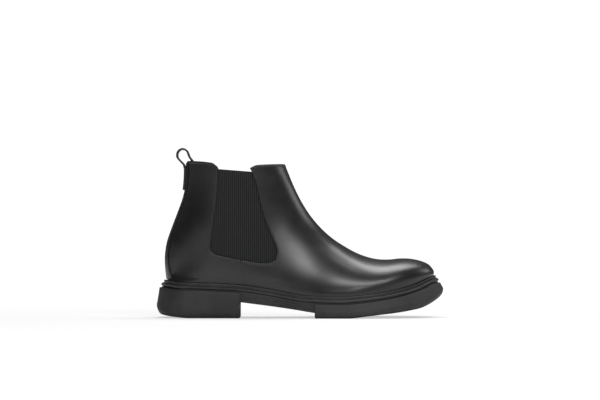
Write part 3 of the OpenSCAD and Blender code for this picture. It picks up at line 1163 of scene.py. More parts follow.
@dataclass(frozen=True)
class Finish:
    """What every finish has: a colour, how far it varies, its gloss and its relief."""

    name: str
    colour: tuple[float, float, float]
    pale: tuple[float, float, float]
    rough: float = 0.5
    rough_spread: float = 0.1
    relief: float = 0.05
    scale: float = 900.0
    coat: float = 0.0
    coat_rough: float = 0.2
    specular: float = 0.5
    sheen: float = 0.0
    sheen_rough: float = 0.4
    metallic: float = 0.0

    def shader(self) -> tuple[bpy.types.Material, Wiring, bpy.types.Node, bpy.types.NodeSocket]:
        """Starts the material.

        Returns:
            The material, its wiring, its Principled shader and its Object coordinates.
        """
        material = bpy.data.materials.new(self.name)
        material.use_nodes = True
        wires = Wiring(material.node_tree)
        shader = material.node_tree.nodes["Principled BSDF"]
        shader.location = (2600, 0)
        material.node_tree.nodes["Material Output"].location = (2900, 0)
        for key, value in (("Coat Weight", self.coat), ("Coat Roughness", self.coat_rough),
                           ("Specular IOR Level", self.specular), ("Sheen Weight", self.sheen),
                           ("Sheen Roughness", self.sheen_rough), ("Metallic", self.metallic)):
            shader.inputs[key].default_value = value
        place = wires.node("ShaderNodeTexCoord").outputs["Object"]
        return material, wires, shader, place

    def colours(self, wires: Wiring, factor: bpy.types.NodeSocket) -> bpy.types.NodeSocket:
        """Mixes the finish's dark and pale colours."""
        return wires.mix(factor, (*self.colour, 1), (*self.pale, 1))

    def roughness(self, wires: Wiring, shader: bpy.types.Node, value: bpy.types.NodeSocket) -> None:
        """Varies the roughness about its middle.

        Args:
            wires: The material's wiring.
            shader: Its Principled shader.
            value: Pattern, about 0.5 on average.
        """
        low = self.rough - self.rough_spread
        wires.join(wires.math("MULTIPLY_ADD", value, 2 * self.rough_spread, low), shader.inputs["Roughness"])

    def bump(self, wires: Wiring, shader: bpy.types.Node, height: bpy.types.NodeSocket, depth: float) -> None:
        """Adds relief.

        Args:
            wires: The material's wiring.
            shader: Its Principled shader.
            height: Height pattern.
            depth: Depth of the relief in millimetres for a height of 1.
        """
        made = wires.node("ShaderNodeBump")
        made.inputs["Strength"].default_value = 1.0
        made.inputs["Distance"].default_value = depth * MM
        wires.join(height, made.inputs["Height"])
        wires.join(made.outputs[0], shader.inputs["Normal"])


@dataclass(frozen=True)
class Leather(Finish):
    """Polished smooth leather with folded, stitched edges."""

    edge_relief: float = 0.3

    def make(self) -> bpy.types.Material:
        """Builds the material."""
        material, wires, shader, place = self.shader()
        grain = GRAIN.place(wires, Place=place, Scale=self.scale, Pebbles=1.0)
        edge = SEWN_EDGE.place(wires, Place=place)
        # the sewn edges are painted paler: partly rub, partly a painted highlight on the fold
        tone = wires.plus(wires.ramp(grain.outputs["Cloud"], ((0.35, 0.0), (0.7, 0.55))), edge.outputs["Rub_Highlight"])
        wires.join(self.colours(wires, tone), shader.inputs["Base Color"])
        self.roughness(wires, shader, wires.plus(grain.outputs["Cloud"],
                                                 wires.times(edge.outputs["Rub_Highlight"], 0.6)))
        height = wires.plus(wires.times(grain.outputs["Height"], self.relief),
                            wires.times(edge.outputs["Height"], self.edge_relief))
        self.bump(wires, shader, height, 1.0)
        return material


@dataclass(frozen=True)
class Moulded(Finish):
    """Moulded rubber, cork, board or foam: speckled, with a fine grain."""

    speckle: float = 0.3

    def make(self) -> bpy.types.Material:
        """Builds the material."""
        material, wires, shader, place = self.shader()
        grain = GRAIN.place(wires, Place=place, Scale=self.scale, Pebbles=0.6)
        dots = wires.ramp(grain.outputs["Speckle"], ((0.45, 0.0), (0.75, 1.0)))
        tone = wires.plus(wires.ramp(grain.outputs["Cloud"], ((0.3, 0.0), (0.75, 0.7))),
                          wires.times(dots, self.speckle))
        wires.join(self.colours(wires, tone), shader.inputs["Base Color"])
        self.roughness(wires, shader, grain.outputs["Cloud"])
        self.bump(wires, shader, grain.outputs["Height"], self.relief)
        return material


@dataclass(frozen=True)
class Woven(Finish):
    """Woven or knitted cloth and thread."""

    def make(self) -> bpy.types.Material:
        """Builds the material."""
        material, wires, shader, place = self.shader()
        weave = WEAVE.place(wires, Place=place, Scale=self.scale)
        wires.join(self.colours(wires, weave.outputs["Height"]), shader.inputs["Base Color"])
        self.roughness(wires, shader, weave.outputs["Fuzz"])
        self.bump(wires, shader, weave.outputs["Height"], self.relief)
        return material


@dataclass(frozen=True)
class Elastic(Finish):
    """Ribbed elastic: covered rubber ribs, with fine yarns wound across them."""

    rib: float = 2.1

    def make(self) -> bpy.types.Material:
        """Builds the material."""
        material, wires, shader, place = self.shader()
        parts = wires.node("ShaderNodeSeparateXYZ")
        wires.join(place, parts.inputs[0])
        wave = wires.math("COSINE", wires.times(parts.outputs[0], 2 * math.pi / (self.rib * MM)))
        crest = wires.math("MULTIPLY_ADD", wave, 0.5, 0.5)
        yarn = wires.math("SINE", wires.times(parts.outputs[2], 2 * math.pi * self.scale))
        fuzz = wires.noise(place, 2600.0, 3)
        # the rib crests are painted paler and the grooves darker: a painted highlight on the crests and painted shade
        # in the grooves, in step with the gores' real ribs
        tone = wires.plus(wires.times(crest, 0.7), wires.times(yarn, 0.12))
        tone = wires.plus(tone, wires.math("MULTIPLY_ADD", fuzz, 0.7, -0.35))
        wires.join(self.colours(wires, tone), shader.inputs["Base Color"])
        self.roughness(wires, shader, fuzz)
        height = wires.plus(wires.times(yarn, 0.3), wires.times(fuzz, 0.7))
        self.bump(wires, shader, height, self.relief)
        return material


@dataclass(frozen=True)
class Metal(Finish):
    """Plain steel or brass with fine scratches and dull patches."""

    def make(self) -> bpy.types.Material:
        """Builds the material."""
        material, wires, shader, place = self.shader()
        stretch = wires.node("ShaderNodeMapping")
        stretch.inputs["Scale"].default_value = (0.06, 1, 1)
        wires.join(place, stretch.inputs["Vector"])
        scratch = wires.noise(stretch.outputs[0], self.scale, 5, 0.7)
        dull = wires.noise(place, 60.0, 4)
        wires.join(self.colours(wires, dull), shader.inputs["Base Color"])
        self.roughness(wires, shader, wires.math("MULTIPLY_ADD", scratch, 0.5, wires.times(dull, 0.5)))
        self.bump(wires, shader, scratch, self.relief)
        return material


@dataclass
class Finishes:
    """Every finish on the boot."""

    leather: bpy.types.Material = field(init=False)
    binding: bpy.types.Material = field(init=False)
    elastic: bpy.types.Material = field(init=False)
    lining: bpy.types.Material = field(init=False)
    thread: bpy.types.Material = field(init=False)
    welt: bpy.types.Material = field(init=False)
    rubber: bpy.types.Material = field(init=False)
    footbed: bpy.types.Material = field(init=False)
    pad: bpy.types.Material = field(init=False)
    hidden: dict[str, bpy.types.Material] = field(init=False)

    def __post_init__(self) -> None:
        """Makes the materials."""
        black = (0.0075, 0.0075, 0.0078)
        self.leather = Leather("polished_leather", black, (0.016, 0.0158, 0.0155), 0.36, 0.05, 0.035, 1400,
                               coat=0.25, coat_rough=0.3, specular=0.5).make()
        self.binding = Leather("folded_leather", black, (0.03, 0.03, 0.03), 0.42, 0.06, 0.05, 1500, coat=0.1,
                               coat_rough=0.4, edge_relief=0.0).make()
        self.elastic = Elastic("ribbed_elastic", (0.006, 0.006, 0.0063), (0.042, 0.042, 0.043), 0.8, 0.1, 0.12, 1250,
                               specular=0.25, sheen=0.12).make()
        self.lining = Leather("lining_leather", (0.021, 0.019, 0.018), (0.05, 0.046, 0.043), 0.62, 0.1, 0.06, 1100,
                              specular=0.35, edge_relief=0.15).make()
        self.thread = Woven("waxed_thread", (0.008, 0.008, 0.008), (0.04, 0.04, 0.04), 0.5, 0.1, 0.05, 3000).make()
        self.welt = Moulded("welt_rubber", (0.02, 0.02, 0.0205), (0.038, 0.038, 0.039), 0.45, 0.08, 0.05, 1500,
                            specular=0.45).make()
        self.rubber = Moulded("sole_rubber", (0.022, 0.022, 0.0225), (0.042, 0.042, 0.043), 0.62, 0.08, 0.06, 1100,
                              specular=0.4).make()
        self.footbed = Leather("footbed_leather", (0.03, 0.027, 0.025), (0.07, 0.064, 0.058), 0.6, 0.1, 0.07, 1000,
                               specular=0.35, edge_relief=0.2).make()
        self.pad = Woven("pad_cloth", (0.02, 0.02, 0.022), (0.07, 0.07, 0.074), 0.75, 0.1, 0.12, 900,
                         sheen=0.15).make()
        self.hidden = {
            "stiffener": Woven("stiffener_felt", (0.4, 0.33, 0.24), (0.62, 0.54, 0.42), 0.85, 0.1, 0.1, 700).make(),
            "board": Moulded("insole_board", (0.3, 0.19, 0.1), (0.5, 0.36, 0.22), 0.8, 0.1, 0.06, 900,
                             speckle=0.6).make(),
            "cork": Moulded("cork_filler", (0.33, 0.2, 0.1), (0.62, 0.43, 0.26), 0.85, 0.1, 0.3, 420,
                            speckle=0.8).make(),
            "steel": Metal("spring_steel", (0.42, 0.43, 0.45), (0.62, 0.63, 0.65), 0.32, 0.1, 0.01, 2500,
                           metallic=1.0).make(),
        }


# ---- the upper ------------------------------------------------------------------------------------


@dataclass
class Upper:
    """The leather shell and its lining: vamp and two quarters, in two layers."""

    finishes: Finishes
    leather: float = 1.6
    lining_from: float = 2.8
    lining: float = 1.0
    margin: float = 14.0
    toe_columns: int = 96
    back_columns: int = 60
    low_rows: int = 26
    high_rows: int = 44
    flap_columns: int = 40
    rim_columns: int = 8
    heel_columns: int = 54
    shaft_columns: int = 66
    wall_rows: int = 52
    leg_station: float = 1.85
    shaft_reach: float = 0.93

    def margin_rows(self, stations: Sequence[float], side: float, depth: float) -> Spots:
        """Lists the turned-in margin's rows.

        Args:
            stations: Stations of the columns, up to the heel.
            side: -1 on the lateral side, 1 on the medial side.
            depth: Depth of the layer.

        Returns:
            Rows from the inner edge out to the feather line.
        """
        rows: Spots = []
        for gap in (self.margin, 10.0, 6.0, 3.0, 1.0):
            row: list[Vector] = []
            for station in stations:
                part = FORM.section(station, depth + gap)
                half = max(0.0, FORM.half_width(part.base[0], -depth - gap))
                low = FORM.feather(part.base[0]) + FORM.under_margin + depth
                row.append(Vector((part.base[0], part.mid_base + side * half, low)))
            rows.append(row)
        rows.append([FORM.spot(station, 0, side, depth) for station in stations])
        return rows

    def vamp_spots(self, side: float, depth: float) -> list[Spots]:
        """Lists the vamp's grids on one side.

        Args:
            side: -1 on the lateral side, 1 on the medial side.
            depth: Depth of the layer.

        Returns:
            The forepart with the leg in front of the gore, the flap under the gore, and the margin.
        """
        edge = CUT.on_form("front_edge", depth)
        corner = min(range(len(edge)), key=lambda spot: edge[spot][0])
        turn, turn_share = edge[corner]
        foot = rising(edge[:corner + 1][::-1])
        front = rising(edge[corner:])
        top = rising([(share, station) for station, share in CUT.on_form("front_top", depth)])
        seam = rising(CUT.on_form("seam", depth))
        tip = foot.points[-1][0]
        toe = [turn * part for part in early(self.toe_columns)]
        low = [step / self.low_rows for step in range(self.low_rows + 1)]
        high = [turn_share + (1 - turn_share) * part for part in late(self.high_rows)[1:]]
        forepart = [[FORM.spot(station, turn_share * part, side, depth) for station in toe] for part in low]
        leg: Spots = []
        for share in [turn_share * low[-1]] + high:
            row = [FORM.spot(station, share, side, depth) for station in toe]
            part = (share - turn_share) / (1 - turn_share)
            for step in range(1, self.back_columns + 1):
                along = (step / self.back_columns) ** 1.25
                station = turn + along * (self.leg_station - turn)
                at = share
                for _ in range(SETTLING):
                    start = front(station)
                    at = start + (1 - start) * part
                    station = turn + along * (top(at) - turn)
                row.append(FORM.spot(station, at, side, depth))
            leg.append(row)
        flap_stations = [turn + (tip - turn) * (step / self.flap_columns) ** 1.5
                         for step in range(self.flap_columns + 1)]
        flap: Spots = []
        for part in low:
            row = []
            for station in flap_stations:
                start = seam(station) if station > seam.points[0][0] else 0.0
                end = foot(station)
                row.append(FORM.spot(station, start + (end - start) * part, side, depth))
            flap.append(row)
        heel = seam.points[0][0]
        rim = toe + [turn + (heel - turn) * step / self.rim_columns for step in range(1, self.rim_columns + 1)]
        return [forepart, leg, flap, self.margin_rows(rim, side, depth)]

    def quarter_spots(self, side: float, depth: float) -> list[Spots]:
        """Lists a quarter's grids.

        Args:
            side: -1 on the lateral side, 1 on the medial side.
            depth: Depth of the layer.

        Returns:
            The wall and the margin.
        """
        seam = CUT.on_form("seam", depth)
        edge = CUT.on_form("rear_edge", depth)
        bound = rising([(station, share) for station, share in seam + edge[1:]])
        top = rising([(share, station) for station, share in CUT.on_form("rear_top", depth)][::-1])
        start = seam[0][0]
        heel_part = [start + (1 - start) * part for part in late(self.heel_columns)]
        stations = heel_part + [1 + self.shaft_reach * step / self.shaft_columns
                                for step in range(1, self.shaft_columns + 1)]
        reach = stations[-1] - start
        wall: Spots = []
        for part in early(self.wall_rows):
            row = []
            for column in stations:
                along = (column - start) / reach
                station, share = column, part * bound(column)
                for _ in range(SETTLING):
                    share = part * bound(station)
                    blend = unit((column - 1) / (stations[-1] - 1))
                    station = column + blend * (top(share) - stations[-1]) if along > 0 else start
                row.append(FORM.spot(station, share, side, depth))
            wall.append(row)
        return [wall, self.margin_rows(heel_part, side, depth)]

    def marks(self, grid: Spots) -> list[list[float]]:
        """Measures each point's distance from the sewn edges.

        Args:
            grid: Rows of points.

        Returns:
            Rows of distances in millimetres.
        """
        lines = (CUT.gore_edge[::2], CUT.front_top[::2], CUT.rear_top[::2], CUT.seam)
        return [[EDGE_REACH if spot.x > 0 and spot.z < 140 else min(off_line((spot.x, spot.z), line) for line in lines)
                 for spot in row] for row in grid]

    def shell(self, name: str, slot: str, material: bpy.types.Material, grids: Sequence[Spots], wall: float,
              node: str, core: Vector) -> bpy.types.Object:
        """Makes one layer piece.

        Args:
            name: Name of the piece.
            slot: Name of its material slot; it is stored on the piece and not used.
            material: Its finish.
            grids: Its grids of points.
            wall: Its thickness.
            node: CAD node that it replaces.
            core: A point inside the boot.

        Returns:
            The piece.
        """
        bm = bmesh.new()
        for grid in grids:
            lay_grid(bm, grid, self.marks(grid))
        piece = Piece(name, material, slot).finish(bm, (node,), core=core)
        thicken(piece, wall)
        soften(piece, min(0.35, wall * 0.3), 2, 60)
        return piece

    def build(self) -> list[bpy.types.Object]:
        """Builds and dresses the upper.

        Returns:
            The pieces.
        """
        finishes = self.finishes
        fore, rear = Vector((0, 0, 45)), Vector((-95, 0, 80))
        made = [self.shell("vamp_leather", "leather", finishes.leather,
                           [grid for side in SIDES for grid in self.vamp_spots(side, 0.0)], self.leather,
                           "vamp", fore)]
        for side, node in zip(SIDES, ("quarter_lateral", "quarter_medial")):
            made.append(self.shell(node + "_leather", "leather", finishes.leather, self.quarter_spots(side, 0.0),
                                   self.leather, node, rear))
        depth = self.lining_from
        made.append(self.shell("vamp_lining_leather", "lining", finishes.lining,
                               [grid for side in SIDES for grid in self.vamp_spots(side, depth)], self.lining,
                               "vamp_lining", fore))
        made.append(self.shell("quarter_lining_leather", "lining", finishes.lining,
                               [grid for side in SIDES for grid in self.quarter_spots(side, depth)], self.lining,
                               "quarter_lining", rear))
        return made


@dataclass
class Gores:
    """The two ribbed elastic panels."""

    finishes: Finishes
    tuck: float = 6.0
    rib: float = 2.1
    crest: float = 1.68
    rib_depth: float = 0.42
    wall: float = 0.65
    rows: int = 46
    rear_x: float = -99.7
    front_x: float = -17.6

    def spots(self, side: float) -> Spots:
        """Lists a gore's grid.

        Args:
            side: -1 on the lateral side, 1 on the medial side.

        Returns:
            Rows of points.
        """
        rear = rising(sorted([(z, x) for x, z in CUT.gore_rear]) + [(160, -85.2)])
        front = rising([(z, x) for x, z in CUT.gore_front] + [(160, -51)])
        foot = rising(sorted([(x, z) for x, z in CUT.gore_rear[-1:] + CUT.gore_foot + CUT.gore_front[:1]]))
        step = self.rib / 6
        first, last = round(self.rear_x / step), round(self.front_x / step)
        grid: Spots = []
        for row in range(self.rows + 1):
            part = row / self.rows
            made: list[Vector] = []
            for column in range(first, last + 1):
                x = column * step
                low = foot(x) - self.tuck
                z = low + (CUT.gore_top(x) - low) * part
                x = max(rear(z) - self.tuck, min(front(z) + self.tuck, x))
                hem = math.exp(-((CUT.gore_top(x) - z - 3.2) / 0.5) ** 2) * 0.2
                swell = 0.5 + 0.5 * math.cos(2 * math.pi * x / self.rib)
                depth = self.crest + self.rib_depth * (1 - swell ** 0.7) + hem
                station, share = FORM.locate(x, z, 1.7)
                near, far = FORM.spot(station, share, side, 1.6), FORM.spot(station, share, side, 2.6)
                made.append(near.lerp(far, depth - 1.6))
            grid.append(made)
        return grid

    def build(self) -> list[bpy.types.Object]:
        """Builds and dresses the gores.

        Returns:
            The pieces.
        """
        made = []
        for side, node in zip(SIDES, ("gore_lateral", "gore_medial")):
            bm = bmesh.new()
            lay_grid(bm, self.spots(side))
            piece = Piece(node + "_elastic", self.finishes.elastic, "elastic", crease=60).finish(
                bm, (node,), core=Vector((-60, 0, 100)))
            thicken(piece, self.wall)
            made.append(piece)
        return made


@dataclass
class Collar:
    """The leather binding folded over the top of the upper, in front and behind the gores."""

    finishes: Finishes
    drop: float = 2.4
    outer: float = -0.28
    inner: float = 3.98
    wall: float = 0.4
    steps: int = 44

    def spots(self, line: str, end_share: float, side: float) -> Spots:
        """Lists a binding's grid from the gore to the middle of the boot.

        Args:
            line: Topline that it follows.
            end_share: Share where it ends: 1 at the ridge, 0 at the back.
            side: -1 on the lateral side, 1 on the medial side.

        Returns:
            Rows across the fold, of points along the topline.
        """
        profile = [(0.0, -self.drop), (0.0, -self.drop / 2), (0.0, -0.5), (0.06, -0.05), (0.22, 0.3), (0.5, 0.42),
                   (0.78, 0.3), (0.94, -0.05), (1.0, -0.5), (1.0, -self.drop / 2), (1.0, -self.drop)]
        tracks = {}
        for depth in (self.outer, self.inner):
            points = [(share, station) for station, share in CUT.on_form(line, depth)]
            tracks[depth] = (points[0][0], rising(points if end_share else points[::-1]))
        grid: Spots = []
        for part, rise in profile:
            row = []
            for along in late(self.steps):
                ends = []
                for depth in (self.outer, self.inner):
                    start, track = tracks[depth]
                    share = start + (end_share - start) * along
                    lift = (1 - share) * 134 + share * 50
                    low = rise * min(1.0, 0.2 + 9 * along) if rise < 0 else rise
                    ends.append(FORM.spot(min(2.0, track(share) + low / lift), share, side, depth))
                row.append(ends[0].lerp(ends[1], part))
            grid.append(row)
        return grid

    def build(self) -> list[bpy.types.Object]:
        """Builds and dresses the bindings.

        Returns:
            The pieces.
        """
        made = []
        for name, line, end_share, core in (("collar_front_binding", "front_top", 1.0, Vector((-40, 0, 150))),
                                            ("collar_rear_binding", "rear_top", 0.0, Vector((-95, 0, 150)))):
            bm = bmesh.new()
            for side in SIDES:
                lay_grid(bm, self.spots(line, end_share, side))
            piece = Piece(name, self.finishes.binding, "leather", crease=70).finish(bm)
            self.face_up(piece)
            thicken(piece, self.wall)
            made.append(piece)
        return made

    def face_up(self, piece: bpy.types.Object) -> None:
        """Turns the fold's faces outwards, by the ones along its top."""
        mesh = piece.data
        high = sum(face.normal.z * face.area for face in mesh.polygons)
        if high < 0:
            mesh.flip_normals()


@dataclass
class BackStrip:
    """The strip that covers the back seam."""

    finishes: Finishes
    outer: float = -1.2
    wall: float = 1.05
    low: float = 40.2
    high: float = 162.0
    half: Track = Track(((40.2, 17), (42, 16.2), (46, 15.1), (52, 14.1), (58, 13.5), (80, 12.5), (130, 11),
                         (162.4, 10.5)))

    def build(self) -> bpy.types.Object:
        """Builds and dresses the strip.

        Returns:
            The piece.
        """
        rows, columns = 84, 28
        grid: Spots = []
        marks: list[list[float]] = []
        for row in range(rows + 1):
            z = self.low + (self.high - self.low) * row / rows
            half = self.half(z)
            made, away = [], []
            for column in range(columns + 1):
                y = half * math.sin(math.pi / 2 * (2 * column / columns - 1))
                made.append(FORM.rear(z, y, self.outer))
                away.append(min(EDGE_REACH, half - abs(y), self.high - z + 1))
            grid.append(made)
            marks.append(away)
        bm = bmesh.new()
        lay_grid(bm, grid, marks)
        piece = Piece("back_strip_leather", self.finishes.leather, "leather").finish(
            bm, ("back_strip",), core=Vector((-90, 0, 100)))
        thicken(piece, self.wall)
        soften(piece, 0.4, 2, 60)
        return piece


@dataclass
class PullStrap:
    """The strap sewn outside the back, bent over into a loop and sewn inside."""

    finishes: Finishes
    wall: float = 2.0
    width: float = 17.0
    outer: float = -2.35
    inner: float = 4.95
    tail_low: float = 133.5
    tail_high: float = 155.4
    root_low: float = 146.0
    loop: tuple[Pair, ...] = ((-121.4, 157.2), (-122.2, 160.2), (-125.3, 163.8), (-128.4, 167.6), (-128.7, 171.6),
                              (-126.6, 175.1), (-122.9, 176.6), (-119.1, 175), (-117.2, 171.6), (-116.3, 168.9),
                              (-115.0, 166.7), (-113.75, 164.3))

    def path(self) -> list[tuple[float, float, float]]:
        """Lists the strap's middle line.

        Returns:
            x, z and how far the strap is bent round the back at each point, below zero inside.
        """
        made: list[tuple[float, float, float]] = []
        for step in range(12):
            z = self.tail_low + (self.tail_high - self.tail_low) * step / 11
            made.append((FORM.rear(z, 0, self.outer).x, z, 1.0))
        loop = rounded(self.loop, 4)
        for number, (x, z) in enumerate(loop):
            part = number / (len(loop) - 1)
            made.append((x, z, max(0.0, 1 - part * 6) if part < 0.5 else -max(0.0, 1 - (1 - part) * 8)))
        for step in range(1, 10):
            z = self.loop[-1][1] + (self.root_low - self.loop[-1][1]) * step / 9
            made.append((FORM.rear(z, 0, self.inner).x, z, -1.0))
        return made

    def bend(self, z: float, y: float, bent: float) -> float:
        """Finds how far the strap is carried forward where it lies round the back.

        Args:
            z: Height.
            y: Place across the strap.
            bent: How far it follows the back, below zero inside.

        Returns:
            Millimetres forward.
        """
        depth = self.outer if bent >= 0 else self.inner
        height = min(z, 163.0)
        return abs(bent) * (FORM.rear(height, y, depth).x - FORM.rear(height, 0, depth).x)

    def build(self) -> bpy.types.Object:
        """Builds and dresses the strap.

        Returns:
            The piece.
        """
        columns = 14
        path = self.path()
        grid: Spots = []
        marks: list[list[float]] = []
        for number, (x, z, bent) in enumerate(path):
            made, away = [], []
            for column in range(columns + 1):
                y = self.width / 2 * (2 * column / columns - 1)
                made.append(Vector((x + self.bend(z, y, bent), y, z)))
                away.append(min(self.width / 2 - abs(y), math.dist((x, z), path[0][:2]),
                                math.dist((x, z), path[-1][:2])))
            grid.append(made)
            marks.append(away)
        bm = bmesh.new()
        lay_grid(bm, grid, marks)
        piece = Piece("pull_strap", self.finishes.leather, "leather", crease=50).finish(
            bm, ("pull_strap_tail", "pull_strap_root", "pull_loop"), body=None)
        thicken(piece, self.wall, 0.0)
        soften(piece, 0.5, 2, 60)
        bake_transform(piece)
        return piece


@dataclass
class Seams:
    """Every line of stitches on the upper."""

    finishes: Finishes
    inset: float = 1.9
    second: float = 3.9

    def strap_box(self, bm: bmesh.types.BMesh, strap: PullStrap) -> None:
        """Sews the strap down with a box of stitches, outside and inside.

        Args:
            bm: Mesh that gets the stitches.
            strap: The strap.
        """
        half = strap.width / 2 - 2
        stitch = Stitching(2.6, 0.5)
        for depth, low, high, out in ((strap.outer - strap.wall / 2, strap.tail_low + 2, strap.tail_high - 1, -1.0),
                                      (strap.inner + strap.wall / 2, strap.root_low + 2, 160.0, 1.0)):
            corners = ((-half, low), (half, low), (half, high), (-half, high), (-half, low))
            for (y0, z0), (y1, z1) in zip(corners, corners[1:]):
                run = [(y0 + (y1 - y0) * step / 6, z0 + (z1 - z0) * step / 6) for step in range(7)]
                stitch.along(bm, [FORM.rear(z, y, depth) for y, z in run],
                             [Vector((out, y * 0.02, 0)) for y, z in run])

    def build(self) -> bpy.types.Object:
        """Sews and dresses the stitches.

        Returns:
            The piece.
        """
        bm = bmesh.new()
        fine = Stitching(2.7, 0.46)
        strip = BackStrip(self.finishes)
        for side in SIDES:
            for gap in (self.inset, self.second):
                around = shifted(CUT.gore_edge, -gap)
                line = [point for point in around if point[1] < (153 if gap == self.inset else 70)]
                fine.along(bm, *wall_run(line, side, 0.0))
            for gap in (1.6, 3.4):
                seam = [(-59.5 - 2.4 * (z - 10) / 50 + gap, z) for z in range(37, 59, 2)]
                fine.along(bm, *wall_run(seam, side, 0.0))
            edge = [(strip.half(z) - self.inset, z) for z in range(44, 162, 2)]
            path = [FORM.rear(z, side * y, strip.outer) for y, z in edge]
            outs = [(FORM.rear(z, side * y, strip.outer - 1) - spot) for (y, z), spot in zip(edge, path)]
            fine.along(bm, path, outs)
        self.strap_box(bm, PullStrap(self.finishes))
        return Piece("upper_stitches", self.finishes.thread, "thread").finish(bm)


# ---- inside ---------------------------------------------------------------------------------------


@dataclass
class Inside:
    """The cushioned footbed and the heel pad on it."""

    finishes: Finishes
    low: float = 4.25
    high: float = 7.55
    edge: float = 4.7
    pad_edge: float = 12.4
    pad_to: float = -80.0

    def slab(self, x0: float, x1: float, inset: float, low: float, high: float, round_ends: tuple[bool, bool],
             crown: float) -> Spots:
        """Lists the rings of a crowned slab.

        Args:
            x0: Rear end.
            x1: Front end.
            inset: How far its widest edge lies inside the feather line.
            low: Height of its underside over the feather line.
            high: Height of its top over the feather line.
            round_ends: Whether the rear and front ends are round.
            crown: How far its top edge is rounded down.

        Returns:
            The rings.
        """
        rings: Spots = []
        count = 72
        for step in range(count + 1):
            part = step / count
            if all(round_ends):
                part = (1 - math.cos(math.pi * part)) / 2
            elif round_ends[0]:
                part = 1 - math.cos(math.pi / 2 * part)
            x = x0 + (x1 - x0) * part
            half = max(0.4, FORM.half_width(x, -inset))
            mid, base = FORM.mid(x, -inset), FORM.feather(x)
            ring = [Vector((x, mid + half * y * 0.985, base + low + 0.1)) for y in (-1, -0.5, 0, 0.5, 1)]
            end = min(1.0, (1 - part) * 14) if not round_ends[1] else 1.0
            for number in range(25):
                y = math.cos(math.pi * number / 24)
                fall = crown * (abs(y) ** 10 + (1 - end) ** 2)
                dish = 0.25 * (1 - y * y)
                ring.append(Vector((x, mid + half * y, base + high - fall - dish)))
            rings.append(ring)
        return rings

    def build(self) -> list[bpy.types.Object]:
        """Builds and dresses the footbed and the heel pad.

        Returns:
            The pieces.
        """
        made = []
        for name, node, material, slot, rings in (
                ("footbed_cushion", "footbed", self.finishes.footbed, "footbed",
                 self.slab(FORM.heel_x + self.edge, FORM.toe_x - self.edge, self.edge, self.low, self.high,
                           (True, True), 1.5)),
                ("heel_cushion", "heel_pad", self.finishes.pad, "foam",
                 self.slab(FORM.heel_x + self.pad_edge, self.pad_to, self.pad_edge, self.high,
                           self.high + 1.35, (True, False), 0.8))):
            bm = bmesh.new()
            lay_loft(bm, rings)
            piece = Piece(name, material, slot, crease=50).finish(bm, (node,))
            soften(piece, 0.35, 2, 50)
            made.append(piece)
        return made


# ---- the sole -------------------------------------------------------------------------------------


